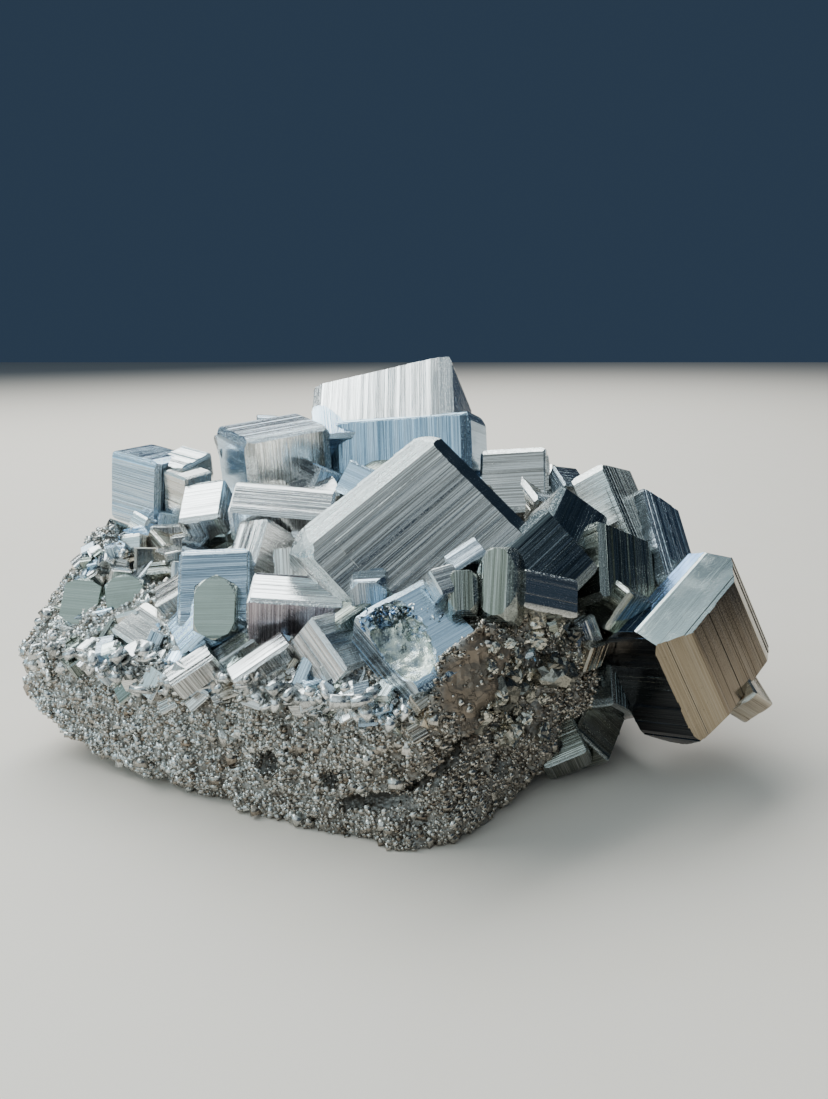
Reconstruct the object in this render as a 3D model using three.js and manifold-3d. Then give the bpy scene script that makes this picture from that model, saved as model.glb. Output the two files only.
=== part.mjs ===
// Pyrite cluster: striped cubic crystals grown together on a wedge of granular matrix.
// Millimetres, +X to the right of the photo, +Y away from its camera, +Z up, with the
// origin on the flat facet that the specimen rests on.

import * as THREE from 'three';
import { ConvexGeometry } from 'three/addons/geometries/ConvexGeometry.js';
import { TessellateModifier } from 'three/addons/modifiers/TessellateModifier.js';
import { mergeVertices } from 'three/addons/utils/BufferGeometryUtils.js';
import Module from 'manifold-3d';

const wasm = await Module();
wasm.setup();

// Driving dimensions
const SPECIMEN_REACH = 200; // longer than the specimen in any direction
const MATRIX_FACET = 6; // longest edge of a facet on the matrix
const MATRIX_LUMP = 1.1; // how far its lumps stand out
const LUMP_SPACING = 7; // from one lump to the next
const LUMP_CENTRE = [-5, 0, 15]; // the lumps stand out away from this point
const SMALL_LUMP_HEIGHT = 0.6; // of the big lumps that they sit on
const SMALL_LUMP_SPACING = 3; // from one small lump to the next
const FOOT_HEIGHT = 0; // the matrix is flat here, where it rests
const BEVEL_SLOPE = 0.5; // drop over width of the bevels beside a striped face
const BEVEL_SHARE = 0.1; // bevel width as a share of the crystal's middle side
const PLAIN_BELOW = 5.5; // crystals with a shorter middle side have no bevels
const MERGE_DISTANCE = 1e-4;
const DIVISION_ROUNDS = 12; // enough to divide the longest edge down to MATRIX_FACET

// Corners of the matrix, before its lumps
const FOOT_CORNERS = [
  [-3, -32, -2.5], [4, -32, -2.5], [19, -10, -2.5],
  [16, 12, -2.5], [-18, 12, -2.5], [-20, -14, -2.5],
];
const FRONT_CORNERS = [
  [-3, -33, 1], [5, -33, 1], [9, -28, 2.5], [18, -20.5, 5], [28, -11, 11], [24, -14, 20],
  [2, -31.5, 16], [3, -29.5, 21], [9, -23.5, 26.5], [15, -18.5, 27],
];
const LEFT_CORNERS = [
  [-15, -28, 1], [-30, -21.5, 2.5], [-44, -14.5, 2.5], [-55.5, -8.5, 4.5], [-62.5, -4, 9],
  [-63.5, -2, 15], [-60, 1, 21], [-21, -23.5, 15.5], [-10, -27, 16], [-47, -11, 13],
];
const TOP_CORNERS = [
  [-55, 6, 24], [-45, 12, 27], [-25, 16, 31], [0, 16, 35], [24, 12, 31], [34, 8, 24],
];
const BACK_CORNERS = [
  [-57, 9, 12], [-46, 22, 14], [-36, 26, 26], [-10, 34, 25], [18, 33, 23], [34, 22, 20],
  [37, 6, 12], [33, 20, 7], [14, 30, 4], [-14, 31, 4], [-40, 20, 5],
];

// A crusted shoulder at the left, and the brown mass in front of the broken cube
const CRUST_CORNERS = [
  [-62, -1, 14], [-61, 0.5, 19], [-58.5, 2.5, 22.5], [-57.5, 6, 26], [-56, 10, 29.5],
  [-53, 14.5, 32.5], [-48, 8, 27], [-48, -7, 17], [-55, -3, 19], [-48, 16, 20],
];
const BROWN_CORNERS = [
  [8.5, -26.5, 28.5], [6.5, -29, 27], [3, -30.5, 25.5], [1.5, -32.5, 20.5], [2, -33.3, 17],
  [7, -33, 15], [11.5, -29.5, 19], [13.5, -24.5, 25], [12, -22, 26.5], [9, -20, 18], [3, -25, 14],
];

// Pits and the open crack in the front wall of the matrix
const PITS = [
  { at: [-20, -26.5, 8], radius: 1.6 },
  { at: [-11, -29, 7.5], radius: 1.1 },
  { at: [12, -26.5, 8], radius: 1.4 },
];
const CRACK_PATH = [[7, -31.5, 13.5], [4, -33, 10], [-2, -33.5, 6], [-9, -31.5, 4.5]];
const CRACK_WIDTH = 1.8;
const CRACK_DEPTH = 5;
const CRACK_LEAD = 1; // the cut starts this far in front of its path

// Shell-like hollows in the first side of the broken cube, in its own axes
const BROKEN_HOLLOWS = [
  { at: [6.4, -4.2, -0.8], reach: [2.5, 4.2, 5] },
  { at: [6.2, -2.4, 4.2], reach: [1.6, 3.4, 2.2] },
  { at: [6.1, -0.7, 0.6], reach: [1.4, 1.6, 2.8] },
];

// Crystals that the photo shows. The faces across a crystal's first side are striped
// along its second side; turn holds degrees about Z, then X, then Y; and bevels holds
// the widths of the bevels beside its first, second and third sides, where they differ
// from BEVEL_SHARE of the middle side.
const CRYSTALS = [
  { name: 'front_cube', at: [-0.3, -3.4, 29.8], size: [21.5, 29, 25.5], turn: [-57, 31, -41],
    bevels: [3.6, 2, 2] },
  { name: 'broken_cube', at: [0.5, -23, 22.5], size: [11.5, 12.5, 14], turn: [-54, 15, -59],
    bevels: [1, 1, 1], hollows: BROKEN_HOLLOWS },
  { name: 'olive_drum', at: [12, -18.5, 30.5], size: [8, 10, 5.5], turn: [-8, 58, 79],
    bevels: [1, 1, 1] },
  { name: 'olive_half', at: [6.5, -20.5, 30], size: [6, 6, 4], turn: [2, 54, 86] },
  { name: 'green_block', at: [17.5, -15.5, 28], size: [7, 9, 5.5], turn: [-71, -17, -31],
    bevels: [0.6, 0.6, 0.6] },
  { name: 'middle_small', at: [-6, -17, 29.5], size: [5.5, 5, 5], turn: [87, -4, 84] },
  { name: 'middle_green', at: [-7, -17, 26.5], size: [5.5, 9, 4.5], turn: [-66, 28, -78] },
  { name: 'ridge_block', at: [-11, -21.5, 22.5], size: [6.5, 9, 6], turn: [50, 40, 8] },
  { name: 'right_cube', at: [42.3, -6.5, 17.4], size: [15, 20.5, 24.5], turn: [-85, -63, -37],
    bevels: [5.6, 6, 3] },
  { name: 'dark_cube', at: [17, -5.5, 28.5], size: [14, 14, 12.5], turn: [-53, 29, -35] },
  { name: 'dark_tall', at: [29.5, -1, 26.5], size: [12, 13, 12.5], turn: [-4, 51, -51] },
  { name: 'dark_back', at: [23.5, 2.5, 33], size: [10, 9, 9.5], turn: [-29, 32, -48] },
  { name: 'lit_tall', at: [35, 9, 32.5], size: [7, 20, 11.5], turn: [32, 54, -67] },
  { name: 'right_back', at: [40.5, 8, 28.5], size: [8, 18, 11.5], turn: [5, 41, -50] },
  { name: 'small_rider', at: [50, -9.5, 11], size: [5.5, 6.5, 5.5], turn: [12, 27, -52] },
  { name: 'striped_block', at: [31, -7, 24], size: [7, 8, 7], turn: [20, 10, 30] },
  { name: 'black_face', at: [34.5, -3, 13.5], size: [9, 10, 8], turn: [35, 20, 40] },
  { name: 'blue_triangle', at: [33, -5, 8.5], size: [8, 8, 7], turn: [50, -30, 20] },
  { name: 'low_block_a', at: [21.5, -15, 5.5], size: [7, 8, 6], turn: [20, 35, -30] },
  { name: 'low_block_b', at: [26.5, -12, 6], size: [7, 9, 6], turn: [-30, 25, 50] },
  { name: 'low_block_c', at: [28.5, -9, 11], size: [8, 8, 7], turn: [60, -20, 35] },
  { name: 'top_white', at: [-4, 35.3, 46.5], size: [17, 16, 28], turn: [0, 44, 72],
    bevels: [2.5, 2.5, 1.5] },
  { name: 'top_blue', at: [-0.5, 28, 38.5], size: [14, 20, 26.5], turn: [9, 77, 64],
    bevels: [1.5, 1.5, 1.5] },
  { name: 'back_white', at: [18.5, 21, 35.5], size: [12, 12, 13], turn: [79, -5, 41] },
  { name: 'left_top_dark', at: [-25.5, 25.5, 39.5], size: [14, 17, 16.5], turn: [-12, -82, 44] },
  { name: 'far_left', at: [-48.5, 25, 36.5], size: [11, 13, 10], turn: [60, -82, 86] },
  { name: 'white_one', at: [-35.5, 14.5, 33], size: [9, 7.5, 9.5], turn: [87, -9, 56] },
  { name: 'white_two', at: [-21.5, 7, 35], size: [7.5, 16.5, 7], turn: [90, 5, 56],
    bevels: [0.7, 0.7, 0.7] },
  { name: 'top_back', at: [-9, 32, 44.8], size: [9, 10, 20], turn: [9, 29, 88] },
  { name: 'top_corner', at: [-33, 30, 41.5], size: [7, 9, 8], turn: [20, 10, -15] },
  { name: 'top_bead', at: [-28, 32, 46], size: [4, 5, 4], turn: [10, 30, 5] },
  { name: 'tilted_prism', at: [-8, 14, 38], size: [6, 9, 6], turn: [70, 20, 30] },
  { name: 'left_bright', at: [-42, 24, 40], size: [7, 8, 5], turn: [-30, 12, 8] },
  { name: 'left_striped_back', at: [-40.5, 20, 36], size: [6, 9, 6], turn: [25, -80, 60] },
  { name: 'grey_bump', at: [26.5, 16, 38], size: [5, 6, 5], turn: [15, 25, 10] },
  { name: 'low_white', at: [-14, 7, 31], size: [6, 12, 6], turn: [85, 12, 50] },
  { name: 'low_shadow', at: [-22, 9, 28.5], size: [7, 10, 7], turn: [80, 20, 40] },
  { name: 'under_left_corner', at: [-18.5, -4, 28.5], size: [5, 7, 5], turn: [10, 60, 75] },
  { name: 'white_three', at: [-24, 2, 29.5], size: [9, 9, 7], turn: [-19, 52, 69] },
  { name: 'blue_block', at: [-29.5, -7.5, 25.5], size: [10, 10.5, 12], turn: [-84, 1, -40] },
  { name: 'hex_plate', at: [-28, -14.5, 26], size: [6, 6, 9], turn: [94, 1, -154],
    bevels: [0.4, 0.4, 2.8] },
  { name: 'blue_diagonal', at: [-29.5, -13, 23], size: [7, 9, 7.5], turn: [-80, 43, -58] },
  { name: 'white_step', at: [-16.5, -14.5, 26], size: [7.5, 13.5, 7.5], turn: [-87, -5, -73] },
  { name: 'left_dark_a', at: [-53, 1, 21.5], size: [6, 6, 7.5], turn: [88, 5, -150],
    bevels: [0.4, 0.4, 2.4] },
  { name: 'left_dark_b', at: [-46, 0.5, 23], size: [6, 6, 7], turn: [100, -4, -160],
    bevels: [0.4, 0.4, 2.4] },
  { name: 'left_grey', at: [-36, -4, 24], size: [6, 7, 6], turn: [15, 10, -30] },
  { name: 'left_striped', at: [-41, -7.5, 19.5], size: [6, 7, 6], turn: [-40, 25, 20] },
  { name: 'left_green', at: [-46.5, -5, 17.5], size: [6, 6, 5], turn: [30, -20, 40] },
  { name: 'bright_slab', at: [-30.5, -19.5, 18.5], size: [5, 6, 3], turn: [-35, 38, -54] },
  { name: 'long_slab', at: [-20.5, -21, 20], size: [5, 7.5, 3], turn: [-43, 39, -35] },
  { name: 'small_blue', at: [-18, -16.5, 21], size: [5, 4, 3], turn: [1, 47, -74] },
  { name: 'small_white', at: [-8, -25.5, 18.5], size: [5, 5, 2], turn: [3, 52, -85] },
  { name: 'small_corner', at: [-2.5, -25.5, 15.5], size: [5, 5, 5], turn: [78, 3, 82] },
  { name: 'tiny_diagonal', at: [-25, -16, 20.5], size: [4, 5.5, 3], turn: [-49, 29, -65] },
  { name: 'block_a', at: [-37, -16, 15.5], size: [3, 4.5, 3.5], turn: [-70, 60, -50] },
  { name: 'block_b', at: [-38, -11, 19], size: [3.5, 4.5, 3], turn: [-50, 60, -70] },
  { name: 'block_f', at: [-46, -9.5, 15], size: [3, 4, 3], turn: [-65, 55, -55] },
  { name: 'block_g', at: [-50, -7.5, 17.5], size: [3, 4, 3], turn: [80, -30, 35] },
  { name: 'block_h', at: [-25, -20.5, 16.5], size: [2.5, 3.5, 2.5], turn: [-85, 20, -35] },
  { name: 'block_t', at: [-34, -14.5, 18.5], size: [2.6, 3.6, 2.4], turn: [-40, 55, -60] },
  { name: 'white_tip', at: [4, -21, 32], size: [3, 4, 4], turn: [-55, 5, -45] },
  { name: 'blue_tip', at: [7.5, -17, 34], size: [3.5, 5, 3.5], turn: [-75, 30, -60] },
];

// Fields of smaller crystals between and behind the named ones: rows and columns
// between four corners, given as the first corner and the way to the next ones
const FIELDS = [
  { from: [-38, -13.5, 17], across: [29, -10, 3], down: [0, -2, -2.5],
    columns: 9, rows: 2, least: 2, most: 3.6 },
  { from: [-58, 2, 20], across: [20, -8, 3], down: [1, -5, -5],
    columns: 5, rows: 3, least: 2.5, most: 4.5 },
  { from: [-54, 10, 26], across: [24, 2, 3], down: [0, 9, 3],
    columns: 6, rows: 3, least: 3.5, most: 6 },
  { from: [-34, 2, 24], across: [24, -4, 1], down: [2, -8, -3],
    columns: 4, rows: 2, least: 5, most: 7 },
  { from: [12, -17, 24], across: [14, 6, -2], down: [1, -1, -5],
    columns: 3, rows: 2, least: 3, most: 6 },
  { from: [-20, 16, 33], across: [44, 0, 0], down: [0, 8, 3],
    columns: 5, rows: 2, least: 8, most: 11 },
  { from: [-44, 24, 30], across: [76, 0, -2], down: [0, 5, -9],
    columns: 8, rows: 2, least: 8, most: 12 },
  { from: [-52, 3, 24], across: [22, -2, 2], down: [0, 7, 2],
    columns: 5, rows: 2, least: 3.5, most: 5.5 },
];
const FIELD_JITTER = 0.6; // of a cell
const FIELD_SPIN = 90; // degrees, the most that a crystal in a field is turned about Z
const FIELD_TILT = 55; // degrees, from its lean to one side to its lean to the other
const FIELD_NUMBERS = 100; // each field numbers its crystals from a new hundred

const DEGREE = Math.PI / 180;

// A number from 0 to 1 that looks random but is the same in every run
function chance(index, channel) {
  const wave = Math.sin(index * 12.9898 + channel * 78.233) * 43758.5453;
  return wave - Math.floor(wave);
}

function blend(start, end, share) {
  return start + (end - start) * share;
}

// A closed geometry as a solid that can be joined and cut
function solidOf(geometry) {
  const bare = geometry.clone();
  bare.deleteAttribute('normal');
  bare.deleteAttribute('uv');
  const merged = mergeVertices(bare, MERGE_DISTANCE);
  return new wasm.Manifold(new wasm.Mesh({
    numProp: 3,
    vertProperties: new Float32Array(merged.attributes.position.array),
    triVerts: new Uint32Array(merged.index.array),
  }));
}

function geometryOf(solid) {
  const mesh = solid.getMesh();
  const geometry = new THREE.BufferGeometry();
  geometry.setAttribute('position', new THREE.BufferAttribute(mesh.vertProperties, 3));
  geometry.setIndex(new THREE.BufferAttribute(mesh.triVerts, 1));
  geometry.computeVertexNormals();
  return geometry;
}

// The outline of a crystal across its stripes: a rectangle whose striped ends have
// a shallow bevel at each corner
function bevelledOutline(across, beside, bevel) {
  const drop = bevel * BEVEL_SLOPE;
  const end = across / 2;
  const side = beside / 2;
  return [
    [end, bevel - side], [end, side - bevel], [end - drop, side], [drop - end, side],
    [-end, side - bevel], [-end, bevel - side], [drop - end, -side], [end - drop, -side],
  ].map(([u, v]) => new THREE.Vector2(u, v));
}

// A cubic crystal with bevels, as the common part of three prisms, one along each
// direction that stripes run in
function bevelledCrystal(size, bevels) {
  const axes = [
    new THREE.Vector3(1, 0, 0),
    new THREE.Vector3(0, 1, 0),
    new THREE.Vector3(0, 0, 1),
  ];
  const prisms = axes.map((across, index) => {
    const stripe = (index + 1) % 3;
    const beside = (index + 2) % 3;
    const outline = new THREE.Shape(bevelledOutline(size[index], size[beside], bevels[index]));
    const length = size[stripe] * 2;
    const prism = new THREE.ExtrudeGeometry(outline, { depth: length, bevelEnabled: false });
    prism.translate(0, 0, -length / 2);
    const back = axes[stripe].clone().negate();
    prism.applyMatrix4(new THREE.Matrix4().makeBasis(across, axes[beside], back));
    return solidOf(prism);
  });
  return prisms[0].intersect(prisms[1]).intersect(prisms[2]);
}

function placement(at, turn) {
  const [aboutZ, aboutX, aboutY] = turn.map((degrees) => degrees * DEGREE);
  const angles = new THREE.Euler(aboutX, aboutY, aboutZ, 'ZXY');
  const place = new THREE.Matrix4().makeRotationFromEuler(angles);
  return place.setPosition(...at);
}

// A rounded lump to cut away, with its reach along each axis of the crystal
function hollow({ at, reach }) {
  return solidOf(new THREE.IcosahedronGeometry(1, 1).scale(...reach).translate(...at));
}

function crystal({ at, size, turn, bevels, hollows = [] }) {
  const middleSide = [...size].sort((first, second) => first - second)[1];
  const plain = middleSide < PLAIN_BELOW;
  const widths = bevels ?? Array(3).fill(middleSide * BEVEL_SHARE);
  const solid = plain ? solidOf(new THREE.BoxGeometry(...size)) : bevelledCrystal(size, widths);
  const broken = hollows.reduce((rest, cut) => rest.subtract(hollow(cut)), solid);
  return broken.transform(placement(at, turn).toArray());
}

// The crystals of one field, spread over its cells with uneven places, sizes and turns
function fieldCrystals(field, fieldIndex) {
  const from = new THREE.Vector3(...field.from);
  const across = new THREE.Vector3(...field.across);
  const down = new THREE.Vector3(...field.down);
  const crystals = [];
  for (let row = 0; row < field.rows; row += 1) {
    for (let column = 0; column < field.columns; column += 1) {
      const index = fieldIndex * FIELD_NUMBERS + row * field.columns + column;
      const draw = (channel) => chance(index, channel);
      const shareAcross = (column + 0.5 + FIELD_JITTER * (draw(1) - 0.5)) / field.columns;
      const shareDown = (row + 0.5 + FIELD_JITTER * (draw(2) - 0.5)) / field.rows;
      const place = from.clone().addScaledVector(across, shareAcross);
      place.addScaledVector(down, shareDown);
      crystals.push(crystal({
        at: place.toArray(),
        size: [3, 4, 5].map((channel) => blend(field.least, field.most, draw(channel))),
        turn: [draw(6) * FIELD_SPIN, (draw(7) - 0.5) * FIELD_TILT, (draw(8) - 0.5) * FIELD_TILT],
      }));
    }
  }
  return crystals;
}

// Smooth noise from -1 to 1, with lumps one unit apart
function lumpNoise(point) {
  const cell = [Math.floor(point.x), Math.floor(point.y), Math.floor(point.z)];
  const within = [point.x - cell[0], point.y - cell[1], point.z - cell[2]];
  const ease = within.map((t) => t * t * (3 - 2 * t));
  const corner = (i, j, k) => chance((cell[0] + i) * 1.7 + (cell[1] + j) * 9.2, (cell[2] + k) * 3.3);
  const edge = (j, k) => blend(corner(0, j, k), corner(1, j, k), ease[0]);
  const side = (k) => blend(edge(0, k), edge(1, k), ease[1]);
  return blend(side(0), side(1), ease[2]) * 2 - 1;
}

// A hull of the corners, divided into small facets and pushed in and out
function lumpyBlock(corners) {
  const hull = new ConvexGeometry(corners.map((corner) => new THREE.Vector3(...corner)));
  hull.deleteAttribute('normal');
  hull.deleteAttribute('uv');
  const divider = new TessellateModifier(MATRIX_FACET, DIVISION_ROUNDS);
  const divided = mergeVertices(divider.modify(hull), MERGE_DISTANCE);
  const positions = divided.attributes.position;
  const centre = new THREE.Vector3(...LUMP_CENTRE);
  for (let index = 0; index < positions.count; index += 1) {
    const point = new THREE.Vector3().fromBufferAttribute(positions, index);
    const outward = point.clone().sub(centre).normalize();
    const big = lumpNoise(point.clone().divideScalar(LUMP_SPACING));
    const small = lumpNoise(point.clone().divideScalar(SMALL_LUMP_SPACING));
    point.addScaledVector(outward, MATRIX_LUMP * (big + SMALL_LUMP_HEIGHT * small));
    positions.setXYZ(index, point.x, point.y, point.z);
  }
  return solidOf(divided);
}

// The matrix: its wedge, with the crusted shoulder and the brown mass grown on
function matrixBlock() {
  const wedge = [
    ...FOOT_CORNERS, ...FRONT_CORNERS, ...LEFT_CORNERS, ...TOP_CORNERS, ...BACK_CORNERS,
  ];
  return wasm.Manifold.union([wedge, CRUST_CORNERS, BROWN_CORNERS].map(lumpyBlock));
}

// A short tapered cut along one stretch of the crack, open to the front
function crackStretch(start, end) {
  const half = CRACK_WIDTH / 2;
  const points = [start, end].flatMap(([x, y, z]) => [
    new THREE.Vector3(x, y - CRACK_LEAD, z + half),
    new THREE.Vector3(x, y - CRACK_LEAD, z - half),
    new THREE.Vector3(x, y + CRACK_DEPTH, z),
  ]);
  return solidOf(new ConvexGeometry(points));
}

function pit({ at, radius }) {
  return solidOf(new THREE.IcosahedronGeometry(radius, 1).translate(...at));
}

function belowFoot() {
  const slab = new THREE.BoxGeometry(SPECIMEN_REACH, SPECIMEN_REACH, SPECIMEN_REACH);
  return solidOf(slab.translate(0, 0, FOOT_HEIGHT - SPECIMEN_REACH / 2));
}

// The outside of a joined solid, with the gaps shut in between its crystals filled
function outerShell(solid) {
  const shells = solid.decompose();
  shells.sort((first, second) => second.volume() - first.volume());
  return shells[0];
}

function wholeSpecimen() {
  const cuts = PITS.map(pit);
  for (let index = 1; index < CRACK_PATH.length; index += 1) {
    cuts.push(crackStretch(CRACK_PATH[index - 1], CRACK_PATH[index]));
  }
  const matrix = matrixBlock().subtract(wasm.Manifold.union(cuts));
  const crystals = [...CRYSTALS.map(crystal), ...FIELDS.flatMap(fieldCrystals)];
  const joined = wasm.Manifold.union([matrix, ...crystals]);
  return outerShell(joined.subtract(belowFoot()));
}

const specimen = new THREE.Mesh(
  geometryOf(wholeSpecimen()),
  new THREE.MeshStandardMaterial({ color: 0x9c968a, roughness: 0.35, metalness: 0.9 }),
);
specimen.name = 'pyrite_cluster';

const group = new THREE.Group();
group.add(specimen);

export default group;
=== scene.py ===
"""Pyrite cluster: striped metallic cubes grown together on a wedge of granular matrix."""

import itertools
import math
from typing import NamedTuple

import bmesh
import bpy
import numpy as np
from mathutils import Euler, Matrix, Vector


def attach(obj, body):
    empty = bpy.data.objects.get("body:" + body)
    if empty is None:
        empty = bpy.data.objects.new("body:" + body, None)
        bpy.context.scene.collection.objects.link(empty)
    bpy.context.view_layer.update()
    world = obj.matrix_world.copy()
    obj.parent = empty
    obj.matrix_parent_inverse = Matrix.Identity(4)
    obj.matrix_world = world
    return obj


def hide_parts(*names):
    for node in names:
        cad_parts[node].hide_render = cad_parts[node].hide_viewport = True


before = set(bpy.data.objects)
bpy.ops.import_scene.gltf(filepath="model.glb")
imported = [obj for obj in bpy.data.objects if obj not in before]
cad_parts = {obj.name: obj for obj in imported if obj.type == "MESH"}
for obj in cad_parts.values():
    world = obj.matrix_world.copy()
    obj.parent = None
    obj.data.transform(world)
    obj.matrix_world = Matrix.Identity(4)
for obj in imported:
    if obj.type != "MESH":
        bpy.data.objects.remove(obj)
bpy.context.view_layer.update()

bl_info = {
    "name": "Pyrite cluster",
    "version": (1, 0, 0),
    "blender": (4, 5, 0),
    "location": "View3D > Sidebar > Pyrite",
    "description": "Builds a pyrite cluster with striped cubic crystals on granular matrix",
    "category": "Add Mesh",
}

MM = 0.001
BODY = "root"
NODE = "pyrite_cluster"


# Places and sizes of the crystals, in millimetres

class Crystal(NamedTuple):
    """A cubic crystal. The faces across its first side are striped along its second."""

    name: str
    at: tuple
    size: tuple
    turn: tuple  # degrees about Z, then X, then Y
    # finish names the swatch of its faces: mostly a painted reflection colour, bright for a painted
    # highlight, black for painted shade
    finish: str = "silver"
    bevel: tuple = ()  # widths of the bevels of its X, Y and Z faces, where not the usual
    rounding: float = 1.62  # reach of its worn corners: 1.73 is sharp, 1.5 well rounded
    ledges: int = 0  # growth ledges on its faces
    faces: dict = {}  # swatches of single sides, such as "+x", where they differ, each a painted reflection of that side, bright for a painted highlight and black for painted shade
    worn: float = 0.3  # how rough and pale its bevels are
    smoothness: float = 0.8  # how smooth its smoothest faces are, from 0 to 1
    chamfers: tuple = ()  # edges cut off: the way a cut faces, its depth under the edge, finish, a swatch that paints the cut's reflection
    hollows: tuple = ()  # shell-like broken places, as (at, reach) in its own axes


# Broken places in the first side of the broken cube, in its own axes
BROKEN_HOLLOWS = (
    ((6.4, -4.2, -0.8), (2.5, 4.2, 5)), ((6.2, -2.4, 4.2), (1.6, 3.4, 2.2)),
    ((6.1, -0.7, 0.6), (1.4, 1.6, 2.8)),
)
# The broken edge in the same side, in the cube's own axes, and how far along it each point is
SHARD_PATH = ((5.4, -5.8, 5.6), (5.2, -2.8, 5.6), (5.2, 0, 4.2), (5.3, 2.2, 2.2), (5.5, 3, 0.4))
SHARD_SHARES = (0, 0.3, 0.6, 0.85, 1)

# Swatch names in these tables paint light: bright is a painted highlight, black painted shade, and the
# coloured swatches painted reflections; silver is near the ore's own colour
FRONT_CRYSTALS = (
    Crystal("front_cube", (-0.3, -3.4, 29.8), (21.5, 29, 25.5), (-57, 31, -41), "silver",
            bevel=(3.6, 2, 2), rounding=1.5, ledges=1, faces={"-y": "bright"}, worn=1.0,
            smoothness=0.3, chamfers=(((1, 0.9, 0), 1.9, "navy"),)),
    Crystal("broken_cube", (0.5, -23, 22.5), (11.5, 12.5, 14), (-54, 15, -59),
            "blue", bevel=(1, 1, 1), rounding=1.64, faces={"-y": "steel"}, worn=0.5,
            hollows=BROKEN_HOLLOWS),
    Crystal("olive_drum", (12, -18.5, 30.5), (8, 10, 5.5), (-8, 58, 79), "olive",
            bevel=(1, 1, 1), rounding=1.36),
    Crystal("olive_half", (6.5, -20.5, 30), (6, 6, 4), (2, 54, 86), "olive", rounding=1.4),
    Crystal("green_block", (17.5, -15.5, 28), (7, 9, 5.5), (-71, -17, -31), "silver",
            bevel=(0.6, 0.6, 0.6), rounding=1.64, faces={"-y": "bright"}),
    Crystal("middle_small", (-6, -17, 29.5), (5.5, 5, 5), (87, -4, 84), "steel", rounding=1.42),
    Crystal("middle_green", (-7, -17, 26.5), (5.5, 9, 4.5), (-66, 28, -78), "olive"),
    Crystal("ridge_block", (-11, -21.5, 22.5), (6.5, 9, 6), (50, 40, 8),
            "bright", rounding=1.66, smoothness=0.0),
)
RIGHT_CRYSTALS = (
    # Painted reflections and shade: brown and tan paint the reflection of warm wood, cobalt and mint
    # that of blue surroundings, and the -z side is painted black for shade
    Crystal("right_cube", (42.3, -6.5, 17.4), (15, 20.5, 24.5), (-85, -63, -37), "brown",
            bevel=(5.6, 6, 3), rounding=1.52, worn=0.0, smoothness=1.0,
            faces={"-y": "cobalt", "-y bevel": "mint", "+x bevel": "tan", "-z": "black"}),
    Crystal("dark_cube", (17, -5.5, 28.5), (14, 14, 12.5), (-53, 29, -35), "navy", ledges=1),
    Crystal("dark_tall", (29.5, -1, 26.5), (12, 13, 12.5), (-4, 51, -51), "olive", ledges=1),
    Crystal("dark_back", (23.5, 2.5, 33), (10, 9, 9.5), (-29, 32, -48), "navy"),
    Crystal("lit_tall", (35, 9, 32.5), (7, 20, 11.5), (32, 54, -67),
            "silver", ledges=1, faces={"+x": "olive"}),
    Crystal("right_back", (40.5, 8, 28.5), (8, 18, 11.5), (5, 41, -50), "steel", ledges=1),
    Crystal("small_rider", (50, -9.5, 11), (5.5, 6.5, 5.5), (12, 27, -52), "bronze"),
    Crystal("striped_block", (31, -7, 24), (7, 8, 7), (20, 10, 30), "olive"),
    # Painted shade: a crystal painted black where the gap between the right cube and the matrix lies in
    # shadow
    Crystal("black_face", (34.5, -3, 13.5), (9, 10, 8), (35, 20, 40), "black"),
    # Painted shade: black, with a painted blue reflection on its -x side
    Crystal("blue_triangle", (33, -5, 8.5), (8, 8, 7), (50, -30, 20), "black",
            faces={"-x": "cobalt"}),
    Crystal("low_block_a", (21.5, -15, 5.5), (7, 8, 6), (20, 35, -30), "olive", ledges=1),
    Crystal("low_block_b", (26.5, -12, 6), (7, 9, 6), (-30, 25, 50), "olive", ledges=1),
    Crystal("low_block_c", (28.5, -9, 11), (8, 8, 7), (60, -20, 35), "navy", ledges=1),
)
TOP_CRYSTALS = (
    Crystal("top_white", (-4, 35.3, 46.5), (17, 16, 28), (0, 44, 72),
            "bright", bevel=(2.5, 2.5, 1.5), rounding=1.6, ledges=1),
    Crystal("top_blue", (-0.5, 28, 38.5), (14, 20, 26.5), (9, 77, 64), "azure",
            bevel=(1.5, 1.5, 1.5), ledges=1),
    Crystal("back_white", (18.5, 21, 35.5), (12, 12, 13), (79, -5, 41), "silver", ledges=1),
    Crystal("left_top_dark", (-25.5, 25.5, 39.5), (14, 17, 16.5), (-12, -82, 44),
            "silver", rounding=1.6, ledges=1, faces={"-y": "steel", "-z": "blue"}),
    Crystal("far_left", (-48.5, 25, 36.5), (11, 13, 10), (60, -82, 86), "blue", rounding=1.6, ledges=1),
    Crystal("white_one", (-35.5, 14.5, 33), (9, 7.5, 9.5), (87, -9, 56), "bright"),
    Crystal("white_two", (-21.5, 7, 35), (7.5, 16.5, 7), (90, 5, 56), "bright",
            bevel=(0.7, 0.7, 0.7)),
    Crystal("top_back", (-9, 32, 44.8), (9, 10, 20), (9, 29, 88), "blue"),
    Crystal("top_corner", (-33, 30, 41.5), (7, 9, 8), (20, 10, -15), "steel"),
    Crystal("top_bead", (-28, 32, 46), (4, 5, 4), (10, 30, 5), "steel"),
    Crystal("tilted_prism", (-8, 14, 38), (6, 9, 6), (70, 20, 30), "blue"),
    Crystal("left_bright", (-42, 24, 40), (7, 8, 5), (-30, 12, 8), "bright"),
    Crystal("left_striped_back", (-40.5, 20, 36), (6, 9, 6), (25, -80, 60), "silver"),
    Crystal("grey_bump", (26.5, 16, 38), (5, 6, 5), (15, 25, 10), "steel"),
    Crystal("low_white", (-14, 7, 31), (6, 12, 6), (85, 12, 50), "bright"),
    Crystal("low_shadow", (-22, 9, 28.5), (7, 10, 7), (80, 20, 40), "steel"),
    Crystal("under_left_corner", (-18.5, -4, 28.5), (5, 7, 5), (10, 60, 75), "silver"),
)
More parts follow.
